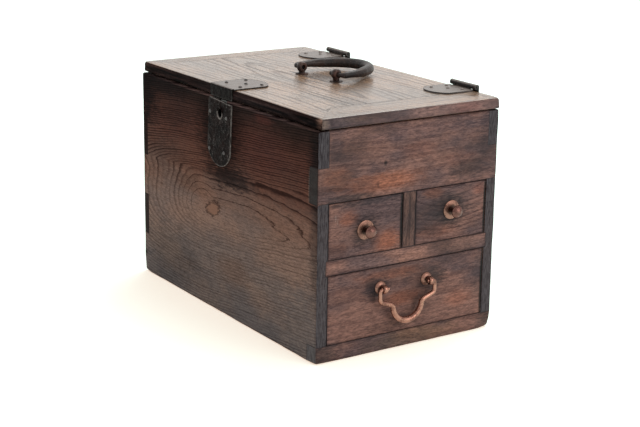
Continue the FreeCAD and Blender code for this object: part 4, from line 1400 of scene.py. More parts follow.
def mark(mesh: bmesh.types.BMesh, vertices: list[bmesh.types.BMVert],
         outer: Box | None = None, places: list[list[float]] | None = None) -> None:
    """Writes down which vertices lie on worn edges, and which in a dirty joint, for the finish to read.

    Args:
        mesh: The mesh.
        vertices: The vertices on its edges.
        outer: Low and high corners of a box: an edge away from its own edges is a joint.
        places: Where the long straight edges lie on each axis; only these can be joints.
    """
    layer = mesh.verts.layers.float[WEAR]
    for vertex in vertices:
        near = 2
        if outer:
            near = sum(
                min(vertex.co[axis] - outer[0][axis], outer[1][axis] - vertex.co[axis]) < OUTER_REACH
                for axis in range(3))
        if near > 1:
            vertex[layer] = 1.0
        elif count_near(vertex.co, places, JOINT_REACH) > 1:
            vertex[layer] = -1.0


def face_away(mesh: bmesh.types.BMesh, axis: int, turned: bool) -> None:
    """Gives the second material to the faces that look along an axis, or else to all the others.

    Args:
        mesh: The mesh.
        axis: The axis.
        turned: Whether the faces that look along it get the second material.
    """
    mesh.normal_update()
    for face in mesh.faces:
        looks = abs(face.normal[axis]) > FACING
        face.material_index = int(looks == turned)


@dataclass
class Board:
    """A board of the box, worn at its edges.

    Each worn spot has its place, how far it reaches and how much more is worn off there, in metres.
    Each uneven part has its depth or share, and its waves for each metre.
    """

    node: str
    finish: WoodFinish
    look: BoardLook
    edge: float = 0.35 * MM
    corner: float = 1.5 * MM
    least_corner: float = 0.2 * MM
    pitch: float = 9 * MM
    rims: tuple[float, ...] = (0.4 * MM, 0.9 * MM, 1.6 * MM, 2.6 * MM)
    joint_reach: float = 0.95 * MM
    planing: Range = (0.03 * MM, 35)
    nicks: Range = (0.12 * MM, 160)
    corner_waves: Range = (0.55, 45)
    corner_ripples: Range = (0.3, 190)
    corner_seed: float = 3.3
    outer: Box | None = None
    worn_spots: tuple[tuple[Point, float, float], ...] = ()
    rim_finish: WoodFinish | None = None
    rim_axis: int = 0

    def worn_corner(self, point: Vector) -> float:
        """Finds how far the box's outer edge is rounded by wear.

        Args:
            point: The place.

        Returns:
            The radius there.
        """
        (wave, wave_scale), (ripple, ripple_scale) = self.corner_waves, self.corner_ripples
        uneven = 1 + wave * wobble(point, wave_scale, self.corner_seed)
        radius = self.corner * (uneven + ripple * wobble(point, ripple_scale, self.look.seed))
        for place, reach, extra in self.worn_spots:
            gap = (point - Vector(place)).length / reach
            radius += extra * max(0.0, 1 - gap * gap)
        return max(radius, self.least_corner)

    def round_off(self, point: Vector) -> Vector:
        """Moves a point in where the box's outer edges are rounded.

        Args:
            point: The point.

        Returns:
            Its new place.
        """
        low, high = self.outer
        radius = self.worn_corner(point)
        middle, half = (low + high) / 2, (high - low) / 2
        local = point - middle
        over = Vector([max(abs(local[axis]) - (half[axis] - radius), 0.0) for axis in range(3)])
        if over.length <= radius:
            return point
        over *= radius / over.length
        for axis in range(3):
            if over[axis] > 0:
                local[axis] = math.copysign(half[axis] - radius + over[axis], local[axis])
        return middle + local

    def worn_mesh(self) -> bmesh.types.BMesh:
        """Copies the node's mesh and wears it.

        Returns:
            The copy, with eased edges, uneven faces and rounded outer edges.
        """
        mesh = solid_copy(self.node)
        mesh.normal_update()
        places = straight_places(mesh)
        if self.outer:
            reach = self.joint_reach
            for axis, values in enumerate(places):
                slice_mesh(mesh, axis, [place + side * reach for place in values for side in (-1, 1)])
        cut_into_cells(mesh, self.pitch, self.outer, self.rims)
        edges = ease_edges(mesh, self.edge)
        mark(mesh, edges, self.outer, places)
        mesh.normal_update()
        seed = self.look.seed
        bevels = set(edges)
        (planing, planing_scale), (nicks, nick_scale) = self.planing, self.nicks
        for vertex in mesh.verts:
            depth = planing * (1 + wobble(vertex.co, planing_scale, seed))
            if vertex in bevels:
                depth += nicks * max(0.0, wobble(vertex.co, nick_scale, seed))
            vertex.co -= vertex.normal * depth
        if self.outer:
            for vertex in mesh.verts:
                vertex.co = self.round_off(vertex.co)
        return mesh

    def build(self) -> bpy.types.Object:
        """Makes the worn copy and puts it in place of the node.

        Returns:
            The board.
        """
        mesh, box = self.worn_mesh(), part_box(self.node)
        material = self.finish.material(f"{self.node}_wood", self.look, box)
        rim = None
        if self.rim_finish:
            rim = self.rim_finish.material(f"{self.node}_edge_wood", self.look, box)
            face_away(mesh, self.rim_axis, True)
        return Piece(f"{self.node}_board", mesh, (self.node,), material, rim).finish()


@dataclass
class Forging:
    """A metal piece copied from its node, with hammered faces and rubbed edges."""

    node: str
    material: bpy.types.Material
    pitch: float = 0.0
    edge: float = 0.25 * MM
    hammer: float = 0.1 * MM
    scale: float = 180.0
    seed: float = 1.0
    blows: float = 0.35
    dings: float = 0.15
    ding_scale: float = 3
    ding_seed: float = 5.0
    smooth_angle: float = math.radians(45)
    rim_material: bpy.types.Material | None = None
    swell: Callable[[Vector], float] | None = None

    def build(self) -> bpy.types.Object:
        """Makes the hammered copy and puts it in place of the node.

        Returns:
            The forging.
        """
        mesh = solid_copy(self.node)
        edges = []
        if self.pitch:
            cut_into_cells(mesh, self.pitch)
            edges = ease_edges(mesh, self.edge)
        mark(mesh, edges)
        mesh.normal_update()
        for vertex in mesh.verts:
            bite = 0.5 + self.blows * wobble(vertex.co, self.scale, self.seed)
            bite += self.dings * wobble(vertex.co, self.ding_scale * self.scale, self.ding_seed)
            depth = self.hammer * max(bite, 0.0)
            if self.swell:
                depth -= self.swell(vertex.co)
            vertex.co -= vertex.normal * depth
        if self.rim_material:
            face_away(mesh, 2, False)
        piece = Piece(
            f"{self.node}_forging", mesh, (self.node,), self.material, self.rim_material, self.smooth_angle)
        return piece.finish()


# the stage


@dataclass(frozen=True)
class Lamp:
    """A square lamp that faces the box."""

    name: str
    place: Point
    size: float
    power: float
    colour: Colour
    aim: Point = (0.0, 0.0, 0.1)

    def hang(self) -> None:
        """Puts the lamp in its place."""
        data = bpy.data.lights.new(self.name, "AREA")
        data.size = self.size
        data.energy = self.power
        data.color = self.colour
        item = bpy.data.objects.new(self.name, data)
        item.location = self.place
        item.rotation_euler = (Vector(self.aim) - Vector(self.place)).to_track_quat("-Z", "Y").to_euler()
        bpy.context.scene.collection.objects.link(item)


@dataclass(frozen=True)
class Stage:
    """The floor, the lamps and the camera."""

    azimuth: float = math.radians(-33.7569)
    elevation: float = math.radians(15.5631)
    roll: float = math.radians(0.878)
    distance: float = 1.59955
    target: Point = (0.01312, 0.0, 0.09032)
    lens: float = 84.7125
    lamps: tuple[Lamp, ...] = (
        Lamp("high_lamp", (0.9, 0.5, 1.9), 1.4, 22, (1.0, 0.98, 0.95)),
        Lamp("front_lamp", (0.7, -2.0, 1.0), 1.4, 16, (1.0, 0.97, 0.94)),
    )
    sky: Colour = (0.93, 0.96, 1.0)
    sky_strength: float = 0.62
    backdrop: Colour = (1.0, 0.985, 0.965)
    floor_half: float = 6.0
    floor_gap: float = 0.4 * MM
    floor_paint: Colour = (0.80, 0.79, 0.77)
    floor_shown: Colour = (0.60, 1.0, 1.0)
    floor_glow: Colour = (0.725, 0.50, 0.385)

    def camera(self) -> None:
        """Sets the camera where the picture was taken from."""
        a, e = self.azimuth, self.elevation
        back = Vector((math.sin(a) * math.cos(e), -math.cos(a) * math.cos(e), math.sin(e)))
        right = Vector((0, 0, 1)).cross(back).normalized()
        up = back.cross(right)
        side = right * math.cos(self.roll) + up * math.sin(self.roll)
        top = back.cross(side)
        turn = Matrix((side, top, back)).transposed().to_4x4()
        data = bpy.data.cameras.new("camera")
        data.lens = self.lens
        item = bpy.data.objects.new("camera", data)
        item.matrix_world = Matrix.Translation(Vector(self.target) + back * self.distance) @ turn
        bpy.context.scene.collection.objects.link(item)
        bpy.context.scene.camera = item

    def world(self) -> None:
        """Makes surroundings that show white and light the box plainly."""
        world = bpy.data.worlds.new("studio")
        world.use_nodes = True
        bpy.context.scene.world = world
        tree = Tree(world.node_tree)
        seen = tree.rays("Camera", "Glossy", "Transmission")
        plain = tree.add("ShaderNodeBackground", Color=self.sky, Strength=self.sky_strength)
        bright = tree.add("ShaderNodeBackground", Color=self.backdrop, Strength=1.0)
        tree.add("ShaderNodeOutputWorld", Surface=tree.choose(seen, plain, bright))

    def floor(self) -> None:
        """Lays a pale floor that shows near white and keeps a soft warm shadow."""
        mesh = bmesh.new()
        bmesh.ops.create_grid(mesh, x_segments=2, y_segments=2, size=self.floor_half)
        bmesh.ops.translate(mesh, verts=mesh.verts, vec=(0, 0, -self.floor_gap))
        data = bpy.data.meshes.new("floor")
        mesh.to_mesh(data)
        mesh.free()
        item = bpy.data.objects.new("floor", data)
        bpy.context.scene.collection.objects.link(item)
        tree = MaterialTree("pale_floor")
        plain = tree.add("ShaderNodeBsdfDiffuse", Color=self.floor_paint)
        lit = tree.add("ShaderNodeBsdfDiffuse", Color=self.floor_shown)
        glow = tree.add("ShaderNodeEmission", Color=self.floor_glow)
        both = tree.feed_in_order(tree.add("ShaderNodeAddShader"), lit.outputs[0], glow.outputs[0])
        tree.feed(tree.output.inputs["Surface"], tree.choose(tree.rays("Camera", "Glossy"), plain, both))
        data.materials.append(tree.material)

    def build(self) -> None:
        """Sets the whole stage."""
        self.camera()
        self.world()
        self.floor()
        for lamp in self.lamps:
            lamp.hang()
        bpy.context.scene.view_settings.view_transform = "Standard"
        log.info("stage set")


# the case

CASE_BOX = joint_box("case_lock_side", "case_hinge_side")
LEFT = CASE_BOX[0].x / MM
FRONT = CASE_BOX[0].y / MM
CASE_HEIGHT = CASE_BOX[1].z / MM
MARK_DEPTH = 14.0
ZONE_DRIFT = 34.0
ZONE_FRAYING = 18.0
SIDE_RINGS = (95.0, 175.0, 0.54, 1.45)
# A side's colours by height; the grey of the lowest stops is painted sheen over the wood's colour.
SIDE_ZONES = (
    (0.00, (0.228, 0.190, 0.172)),
    (0.22, (0.280, 0.208, 0.172)),
    (0.42, (0.300, 0.203, 0.160)),
    (0.58, (0.245, 0.145, 0.108)),
    (0.68, (0.165, 0.080, 0.058)),
    (0.84, (0.125, 0.054, 0.040)),
    (1.00, (0.032, 0.019, 0.016)),
)
DARK_ENDS: Colour = (0.13, 0.135, 0.155)
SILL_ENDS: Colour = (0.66, 0.72, 0.78)


def side_zones(xyz: tuple[Signal, ...], fleck: Signal, cloud: Signal) -> Socket:
    """Colours a side from a foot greyed by painted sheen over an olive middle to a sooty red top.

    Args:
        xyz: The place on the object, in millimetres.
        fleck: The noise that frays the zones.
        cloud: The noise that bends them.

    Returns:
        The colour.
    """
    level = xyz[2] + (cloud - 0.5) * ZONE_DRIFT + (fleck - 0.5) * ZONE_FRAYING
    return fleck.tree.ramp(level / CASE_HEIGHT, SIDE_ZONES)


def dark_end_zones(xyz: tuple[Signal, ...], fleck: Signal, cloud: Signal) -> Socket:
    """The side's colour, much darker, for the end grain that shows on it."""
    return fleck.tree.times(side_zones(xyz, fleck, cloud), DARK_ENDS)


def sill_end_zones(xyz: tuple[Signal, ...], fleck: Signal, cloud: Signal) -> Socket:
    """The side's colour, a little darker, for the sill's end grain."""
    return fleck.tree.times(side_zones(xyz, fleck, cloud), SILL_ENDS)


def side_ring_reach(xyz: tuple[Signal, ...]) -> Signal:
    """How strongly a side's rings show: most on its dark top."""
    return xyz[2].fade(*SIDE_RINGS)


def front_mark(x: float, z: float, wide: float, high: float, colour: Colour,
               strength: float = 0.6, ragged: float = 0.6) -> SoftMark:
    """A mark on the box's front."""
    return SoftMark((x, FRONT, z), (wide, MARK_DEPTH, high), colour, strength, ragged)


def left_mark(y: float, z: float, long: float, high: float, colour: Colour,
              strength: float = 0.6, ragged: float = 0.6) -> SoftMark:
    """A mark on the case's left side."""
    return SoftMark((LEFT, y, z), (MARK_DEPTH, long, high), colour, strength, ragged)


@dataclass
class Case:
    """The case's boards."""

    corner: float = 1.5 * MM
    front_pitch: float = 7 * MM
    inner_pitch: float = 60 * MM
    side_marks: tuple[SoftMark, ...] = (
        # Grey patch low at the rear: painted sheen.
        left_mark(110, 35, 72, 36, (0.150, 0.122, 0.110)),
        left_mark(120, 148, 48, 16, (0.120, 0.066, 0.050)),
        left_mark(70, 125, 40, 12, (0.185, 0.100, 0.070), 0.5),
        left_mark(-22, 52, 36, 17, (0.290, 0.170, 0.115), 0.55),
        left_mark(-150, 30, 30, 40, (0.200, 0.178, 0.168)),
        left_mark(-75, 185, 46, 28, (0.130, 0.050, 0.039), 0.5),
        left_mark(105, 195, 60, 22, (0.060, 0.030, 0.024)),
        left_mark(-15, 147, 50, 13, (0.026, 0.018, 0.018), 0.8, 0.8),
        left_mark(174, 205, 38, 42, (0.010, 0.006, 0.006), 0.92),
        left_mark(120, 222, 60, 14, (0.012, 0.007, 0.007), 0.7, 0.7),
        left_mark(-174, 192, 17, 42, (0.014, 0.011, 0.011), 0.85),
        left_mark(-170, 120, 9, 60, (0.060, 0.046, 0.042)),
        left_mark(5, 194, 48, 53, (0.010, 0.0044, 0.0038), 0.96, 0.4),
        left_mark(172, 22, 4, 3.5, (0.010, 0.008, 0.008), 0.9, 0.2),
        left_mark(-159.3, 171, 0.7, 18, (0.30, 0.24, 0.20), 0.7, 0.1),
        left_mark(-78, 219, 18, 6, (0.150, 0.052, 0.040), 0.5),
        left_mark(-20, 225, 165, 1.8, (0.210, 0.132, 0.118), 0.85, 0.3),
    )
    panel_marks: tuple[SoftMark, ...] = (
        front_mark(-38, 170, 52, 10, (0.290, 0.125, 0.076), 0.7),
        front_mark(-84, 178, 18, 12, (0.250, 0.118, 0.078)),
        front_mark(8, 197, 22, 9, (0.215, 0.105, 0.080), 0.5),
        front_mark(60, 182, 22, 8, (0.190, 0.098, 0.080), 0.4),
        front_mark(-86, 205, 9, 16, (0.075, 0.060, 0.070)),
        front_mark(0, 214, 90, 8, (0.140, 0.096, 0.100), 0.5),
        front_mark(70, 170, 26, 11, (0.050, 0.038, 0.040), 0.7),
        front_mark(94, 208, 14, 22, (0.070, 0.052, 0.058)),
        front_mark(-73, 159, 34, 4.5, (0.040, 0.034, 0.038), 0.8),
        front_mark(-30, 187.5, 2.2, 2.8, (0.020, 0.016, 0.018), 0.85, 0.2),
        front_mark(-38, 167, 1.5, 2.6, (0.020, 0.016, 0.018), 0.5, 0.2),
    )
    sill_marks: tuple[SoftMark, ...] = (
        front_mark(5, 8, 60, 12, (0.175, 0.118, 0.082), 0.7),
        front_mark(-98, 8, 18, 14, (0.055, 0.045, 0.045), 0.75),
        front_mark(102, 8, 16, 14, (0.060, 0.048, 0.046), 0.7),
    )
    rail_marks: tuple[SoftMark, ...] = (
        front_mark(70, 93, 32, 9, (0.150, 0.105, 0.098), 0.5),
        front_mark(-30, 93, 80, 9, (0.290, 0.178, 0.148), 0.7),
    )
    post_marks: tuple[SoftMark, ...] = (front_mark(-1, 130, 14, 46, (0.085, 0.058, 0.050), 0.75),)
    post_cracks: tuple[Crack, ...] = (Crack(0.7, 96.0, 160.0, strength=0.75),)

    def sides(self) -> dict[str, BoardLook]:
        """Gives the two sides and the back their looks.

        Returns:
            The look of each board by its node.
        """
        zoned = {"zones": side_zones, "ring_reach": side_ring_reach}
        arches = ArchRings(5.0, centre_along=-30.0, centre_across=60.0, aspect=0.16)
        heart = Heart(20.3, 107.5, 12.0, 6.6)
        return {
            "case_lock_side": BoardLook(
                Grain.ALONG_Y, 3.1, KnotRings(sway=7.0), self.side_marks, heart=heart, **zoned),
            "case_hinge_side": BoardLook(Grain.ALONG_Y, 7.7, Rings(3.8, 60.0, 45.0), **zoned),
            "case_back_board": BoardLook(Grain.ALONG_X, 5.3, arches, end_zones=dark_end_zones, **zoned),
        }

    def fronts(self) -> dict[str, BoardLook]:
        """Gives the boards that show at the front their looks.

        Returns:
            The look of each board by its node.
        """
        return {
            "front_upper_panel": BoardLook(
                Grain.ALONG_X, 1.9, Rings(4.4, 150.0, 30.0), self.panel_marks, end_zones=dark_end_zones),
            "front_sill": BoardLook(
                Grain.ALONG_X, 2.7, Rings(3.6, 30.0), self.sill_marks, end_zones=sill_end_zones),
            "drawer_rail": BoardLook(Grain.ALONG_X, 4.4, Rings(3.2, 70.0), self.rail_marks),
            "divider_post": BoardLook(
                Grain.ALONG_Z, 6.2, Rings(3.0, 20.0), self.post_marks, self.post_cracks),
        }

    def inner_boards(self) -> dict[str, BoardLook]:
        """Gives the plain boards inside their looks.

        Returns:
            The look of each board by its node.
        """
        grains = {
            "case_bottom_board": Grain.FLAT_ALONG_Y,
            "middle_shelf": Grain.FLAT_ALONG_Y,
            "tray_floor": Grain.FLAT_ALONG_Y,
            "drawer_runners": Grain.ALONG_Y,
            "divider_board": Grain.ALONG_Y,
        }
        return {
            node: BoardLook(grain, 11.0 + number, Rings(5.0, 10.0 * number))
            for number, (node, grain) in enumerate(grains.items())
        }

    def build(self) -> None:
        """Makes every board of the case."""
        low, high = CASE_BOX
        worn = {
            "outer": CASE_BOX,
            "corner": self.corner,
            "worn_spots": (
                ((low.x, high.y, low.z), 12 * MM, 2.2 * MM),
                ((low.x, low.y, low.z), 9 * MM, 1.6 * MM),
                ((high.x, low.y, low.z), 12 * MM, 3.6 * MM),
            ),
        }
        for node, look in self.sides().items():
            Board(node, SIDE_WOOD, look, **worn).build()
        for node, look in self.fronts().items():
            Board(node, CASE_WOOD, look, pitch=self.front_pitch, **worn).build()
        for node, look in self.inner_boards().items():
            Board(node, INNER_WOOD, look, pitch=self.inner_pitch).build()


# the lid


@dataclass
class Lid:
    """The lid's three boards."""

    corner: float = 1.6 * MM
    cracks: tuple[Crack, ...] = (
        Crack(-47.0, -140.0, 10.0, 0.02, 1.0, 0.7),
        Crack(-40.0, -165.0, 60.0, 0.015, 1.0, 0.8),
        Crack(-24.0, -150.0, 110.0, 0.02, 1.0, 0.8),
        Crack(-9.0, -90.0, 100.0, 0.01, 1.1, 0.8),
        Crack(2.5, -26.0, 50.0, -0.03, 1.4, 1.0),
        Crack(30.0, -130.0, 20.0, 0.03, 0.8, 0.5),
        Crack(61.0, -150.0, 140.0, 0.01, 0.7, 0.4),
    )
    bare_corner: SoftMark = SoftMark((-104, -176, 233), (9, 9, 9), (0.36, 0.27, 0.20))
    panel_marks: tuple[SoftMark, ...] = (
        SoftMark((-104, -75, 231.5), (5, 80, 3), (0.060, 0.050, 0.049), 0.6, 0.8),
        # Painted reflection and shadow of the lid handle: between its posts and at the foot of each post.
        SoftMark((12, 0, 237), (12, 34, 8), (0.060, 0.036, 0.030), 0.55, 0.7),
        SoftMark((8.5, -30.5, 237), (12, 12, 8), (0.085, 0.040, 0.028), 0.6, 0.7),
        SoftMark((8.5, 30.0, 237), (12, 12, 8), (0.085, 0.040, 0.028), 0.6, 0.7),
    )
    front_marks: tuple[SoftMark, ...] = (
        SoftMark((64, -176, 232), (18, 7, 7), (0.170, 0.094, 0.092), 0.55, 0.8),
        SoftMark((-60, -176, 234), (26, 7, 3), (0.260, 0.170, 0.125), 0.5, 0.8),
        SoftMark((100, -176, 232), (20, 7, 8), (0.085, 0.062, 0.066), 0.65, 0.8),
    )
    rear_marks: tuple[SoftMark, ...] = (SoftMark((-86.5, 163.5, 237), (5, 5, 5), (0.02, 0.016, 0.015), 0.8, 0.3),)

    def build(self) -> None:
        """Makes the middle board and its two end caps."""
        outer = joint_box("lid_panel", "lid_front_cap", "lid_rear_cap")
        low, high = outer
        spots = (
            ((low.x, low.y, high.z), 16 * MM, 2.2 * MM),
            ((high.x, low.y, high.z), 10 * MM, 1.6 * MM),
            ((high.x, high.y, high.z), 12 * MM, 2.0 * MM),
            ((low.x, high.y, high.z), 12 * MM, 1.4 * MM),
        )
        arches = ArchRings(7.0, centre_along=-60.0, centre_across=-10.0, aspect=0.12)
        panel_marks = (self.bare_corner, *self.panel_marks)
        front_marks = (*self.front_marks, self.bare_corner)
        boards = {
            "lid_panel": (LID_EDGE, 0, BoardLook(
                Grain.FLAT_ALONG_Y, 2.2, arches, panel_marks, self.cracks)),
            "lid_front_cap": (LID_FRONT_EDGE, 1, BoardLook(
                Grain.FLAT_ALONG_X, 8.3, Rings(5.0, -40.0), front_marks, edge_wear=0.5)),
            "lid_rear_cap": (LID_FRONT_EDGE, 1, BoardLook(
                Grain.FLAT_ALONG_X, 9.6, Rings(5.0, 40.0), self.rear_marks, edge_wear=0.4)),
        }
        for node, (rim_finish, axis, look) in boards.items():
            board = Board(node, LID_WOOD, look, outer=outer, corner=self.corner, worn_spots=spots,
                          rim_finish=rim_finish, rim_axis=axis)
            board.build()


# the drawers

ORANGE: Colour = (0.320, 0.130, 0.078)
# A dark grey for patches round the pull's plates and along the left drawer's top edge.
DARK_PATCH: Colour = (0.040, 0.033, 0.036)
SHADE: Colour = (0.006, 0.004, 0.004)
SCRATCH: Colour = (0.34, 0.28, 0.25)
HALO_DARK: Colour = (0.034, 0.028, 0.030)
PULL_FULLER = 0.75 * MM
PULL_NECK = 0.058
PULL_RISE = 0.014
LEFT_MARKS = (
    front_mark(-70, 139, 12, 8, ORANGE),
    front_mark(-26, 113, 18, 12, ORANGE, 0.7),
    front_mark(-50, 153, 48, 4, DARK_PATCH),
    front_mark(-84, 110, 14, 8, (0.20, 0.092, 0.062), 0.5),
    front_mark(-9, 128, 2.6, 44, SHADE, 1.0, 0.1),
    front_mark(-85.5, 141, 0.6, 4.2, SCRATCH, 0.6, 0.3),
    front_mark(-83.2, 137, 0.5, 3.4, SCRATCH, 0.5, 0.3),
)
RIGHT_MARKS = (
    front_mark(28, 151, 14, 6, (0.340, 0.150, 0.095), 0.7),
    front_mark(84, 149, 9, 7, (0.260, 0.120, 0.090)),
    front_mark(92.6, 128, 2.2, 44, SHADE, 1.0, 0.1),
    front_mark(30, 112, 26, 8, (0.250, 0.112, 0.072)),
    front_mark(50, 133, 26, 18, (0.060, 0.050, 0.052), 0.65),
)
LARGE_MARKS = (
    front_mark(-22, 77, 38, 6, (0.290, 0.125, 0.080)),
    front_mark(-6, 50, 24, 8, (0.270, 0.118, 0.076)),
    front_mark(62, 38, 18, 9, (0.250, 0.115, 0.080), 0.5),
    front_mark(-37, 66, 15, 13, DARK_PATCH, 0.85),
    front_mark(29, 65, 17, 13, DARK_PATCH, 0.85),
    # Painted shadow under the pull's bow.
    front_mark(-14, 24, 40, 6, (0.075, 0.050, 0.046), 0.5),
    front_mark(88, 60, 8, 30, (0.085, 0.066, 0.066), 0.5),
    front_mark(92.6, 51, 2.6, 54, SHADE, 1.0, 0.1),
)


def post_places(plates: str) -> tuple[Spot, ...]:
    """Finds the posts that stand in a node of one or two round plates.

    Args:
        plates: The plates' node.

    Returns:
        Where each post stands, across and up, to a tenth of a millimetre.
    """
    low, high = (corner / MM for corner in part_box(plates))
    radius = (high.z - low.z) / 2
    across = sorted({round(low.x + radius, 1), round(high.x - radius, 1)})
    return tuple((x, round(low.z + radius, 1)) for x in across)


def pull_swell(point: Vector) -> float:
    """How much fuller the drawer pull's bow is than its necks."""
    return PULL_FULLER * min(1.0, max(0.0, (PULL_NECK - point.z) / PULL_RISE))


@dataclass
class Drawer:
    """One drawer's boards and its fittings."""

    name: str
    seed: float
    rings: Rings
    marks: tuple[SoftMark, ...]
    fittings: tuple[str, ...]
    copper: bpy.types.Material
    dark_reach: float = 5.6
    ring_reach: float = 1.0
    corner: float = 0.7 * MM
    front_pitch: float = 7 * MM
    inner_pitch: float = 60 * MM
    inner_seed: float = 20
    hammer: float = 0.09 * MM
    halo_width: float = 0.9
    halo_depth: float = 16.0
    halo_height: float = 0.85
    halo_strength: float = 0.85

    def halo(self, plate: str) -> SoftMark:
        """Makes the dark ring round a knob's plate.

        Args:
            plate: The knob's plate.

        Returns:
            The mark.
        """
        low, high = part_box(plate)
        middle, size = (low + high) / (2 * MM), (high - low) / MM
        reach = (size.x * self.halo_width, self.halo_depth, size.z * self.halo_height)
        return SoftMark(tuple(middle), reach, HALO_DARK, self.halo_strength)

    def build_front(self) -> None:
        """Makes the drawer's front."""
        front = f"{self.name}_front"
        halos = tuple(self.halo(f"{self.name}_{part}") for part in self.fittings if part == "knob_plate")
        look = BoardLook(Grain.ALONG_X, self.seed, self.rings, self.marks + halos, ring_reach=self.ring_reach)
        Board(front, CASE_WOOD, look, corner=self.corner, outer=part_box(front), pitch=self.front_pitch).build()

    def build_box(self) -> None:
        """Makes the plain boards behind the front."""
        grains = {
            "left_side": Grain.ALONG_Y,
            "right_side": Grain.ALONG_Y,
            "back": Grain.ALONG_X,
            "bottom": Grain.FLAT_ALONG_Y,
        }
        for number, (part, grain) in enumerate(grains.items()):
            look = BoardLook(grain, self.seed + self.inner_seed + number, Rings(5.0, 12.0 * number))
            Board(f"{self.name}_{part}", INNER_WOOD, look, pitch=self.inner_pitch).build()

    def build_fittings(self) -> None:
        """Makes the copper fittings."""
        for number, part in enumerate(self.fittings):
            node = f"{self.name}_{part}"
            copper = self.copper
            if "plate" in part:
                # Plates are darkened round their posts: painted shadow.
                copper = COPPER.material(f"{node}_copper", post_places(node), self.dark_reach)
            swell = pull_swell if part == "bail" else None
            Forging(node, copper, hammer=self.hammer, seed=self.seed + number, swell=swell).build()

    def build(self) -> None:
        """Makes the whole drawer."""
        self.build_front()
        self.build_box()
        self.build_fittings()


# the ironwork

HANDLE_FULLER = 0.8 * MM
HANDLE_END = 0.016
HANDLE_RISE = 0.030


def handle_swell(point: Vector) -> float:
    """How much fuller the lid handle's bow is than its ends."""
    return HANDLE_FULLER * min(1.0, max(0.0, (point.x - HANDLE_END) / HANDLE_RISE))


@dataclass
class Lock:
    """The lock: its plate, the raised rim of its keyhole, and the iron in the side."""

    iron: bpy.types.Material
    plate_iron: bpy.types.Material
    nail_iron: bpy.types.Material
    rim_centre: Point = (-107.1, 3.1, 211.2)
    rim_half: tuple[float, float] = (4.9, 6.0)
    rim_wire: float = 0.75
    rim_steps: int = 40
    wire_sides: int = 10
    rim_ripple: float = 0.06
    rim_ripple_scale: float = 260
    rim_seed: float = 2.0
    rim_worn_and_lit_under: float = 1.0 * MM

    def keyhole_rim(self) -> None:
        """Makes the raised oval rim round the keyhole, lighter on its lower half: wear and a painted highlight.
        """
        mesh = bmesh.new()
        mesh.verts.layers.float.new(WEAR)
        wire = bmesh.ops.create_circle(mesh, segments=self.wire_sides, radius=self.rim_wire * MM)["verts"]
        bmesh.ops.rotate(mesh, verts=wire, cent=(0, 0, 0), matrix=Matrix.Rotation(math.pi / 2, 3, "X"))
        bmesh.ops.translate(mesh, verts=wire, vec=(self.rim_half[0] * MM, 0, 0))
        bmesh.ops.spin(
            mesh, geom=mesh.verts[:] + mesh.edges[:], cent=(0, 0, 0), axis=(0, 0, 1), angle=math.tau,
            steps=self.rim_steps, use_merge=True, use_duplicate=False)
        bmesh.ops.rotate(mesh, verts=mesh.verts, cent=(0, 0, 0), matrix=Matrix.Rotation(math.pi / 2, 3, "Y"))
        tall = self.rim_half[1] / self.rim_half[0]
        for vertex in mesh.verts:
            ripple = 1 + self.rim_ripple * wobble(vertex.co, self.rim_ripple_scale, self.rim_seed)
            vertex.co = Vector((vertex.co.x, vertex.co.y * ripple, vertex.co.z * tall * ripple))
        # The lower half is marked worn, which lightens it: wear and a painted highlight where light falls into
        # the keyhole.
        mark(mesh, [vertex for vertex in mesh.verts if vertex.co.z < self.rim_worn_and_lit_under])
        bmesh.ops.translate(mesh, verts=mesh.verts, vec=Vector(self.rim_centre) * MM)
        Piece("keyhole_rim", mesh, ("lock_plate",), self.plate_iron, stands_in=False).finish()

    def build(self) -> None:
        """Makes the plate, its rim, its nails and the lock's inner iron."""
        Forging("lock_plate", self.plate_iron, pitch=2.4 * MM, edge=0.3 * MM, hammer=0.22 * MM).build()
        Forging("lock_plate_nails", self.nail_iron, hammer=0.08 * MM).build()
        self.keyhole_rim()
        for node in ("lock_case", "lock_bolt", "lid_staple"):
            Forging(node, self.iron, hammer=0.0).build()


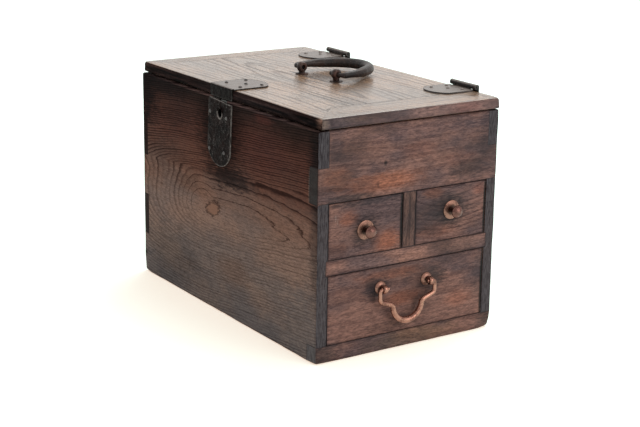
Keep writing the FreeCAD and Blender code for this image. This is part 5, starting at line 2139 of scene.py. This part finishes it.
@dataclass
class Ironwork:
    """The lid's strap, its hinges and its handle."""

    iron: bpy.types.Material
    leaf_iron: bpy.types.Material
    strap_iron: bpy.types.Material
    post_iron: bpy.types.Material
    leaf_pitch: float = 2.6 * MM
    nail_hammer: float = 0.08 * MM

    def build_strap(self) -> None:
        """Makes the strap and its nails."""
        strap = Forging("lid_strap", self.leaf_iron, pitch=self.leaf_pitch, hammer=0.16 * MM, seed=4.0,
                        rim_material=self.strap_iron)
        strap.build()
        Forging("lid_strap_nails", self.iron, hammer=self.nail_hammer).build()

    def build_hinges(self) -> None:
        """Makes both hinges and their nails."""
        for number, end in enumerate(("front", "rear")):
            for part in ("lid_leaf", "case_leaf"):
                leaf = Forging(f"{end}_hinge_{part}", self.leaf_iron, pitch=self.leaf_pitch, hammer=0.14 * MM,
                               seed=6.0 + number, rim_material=self.iron)
                leaf.build()
            Forging(f"{end}_hinge_pin", self.iron, hammer=0.03 * MM).build()
        Forging("hinge_lid_nails", self.leaf_iron, hammer=self.nail_hammer).build()
        Forging("hinge_case_nails", self.iron, hammer=self.nail_hammer).build()

    def build_handle(self) -> None:
        """Makes the handle, its posts and their washers."""
        parts = {
            "bail": (self.iron, handle_swell),
            "posts": (self.post_iron, None),
            "washers": (self.post_iron, None),
        }
        for part, (iron, swell) in parts.items():
            Forging(f"lid_handle_{part}", iron, hammer=0.22 * MM, scale=120.0, seed=9.0, swell=swell).build()

    def build(self) -> None:
        """Makes each forging."""
        self.build_strap()
        self.build_hinges()
        self.build_handle()


def main() -> None:
    """Builds the stage and each sub-assembly in order."""
    logging.basicConfig(level=logging.INFO, format="%(name)s: %(message)s")
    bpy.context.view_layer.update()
    Stage().build()
    iron, copper = IRON.material("iron"), KNOB_COPPER.material("copper")
    Case().build()
    Lid().build()
    knob = ("knob", "knob_plate")
    arches = ArchRings(4.6, centre_along=52.0, centre_across=172.0, aspect=0.55, sway=8.0)
    Drawer("left_drawer", 14.2, Rings(3.4, 120.0, 30.0), LEFT_MARKS, knob, copper).build()
    Drawer("right_drawer", 15.9, arches, RIGHT_MARKS, knob, copper, ring_reach=1.7).build()
    Drawer("large_drawer", 12.6, Rings(3.8, 60.0, 30.0), LARGE_MARKS, ("bail", "pull_posts", "pull_plates"),
           PULL_COPPER.material("pull_copper"), dark_reach=4.2).build()
    Lock(iron, LOCK_IRON.material("lock_iron"), NAIL_IRON.material("nail_iron")).build()
    leaf_iron, strap_iron = LEAF_IRON.material("leaf_iron"), STRAP_IRON.material("strap_iron")
    Ironwork(iron, leaf_iron, strap_iron, POST_IRON.material("post_iron")).build()


if __name__ == "__main__":
    main()
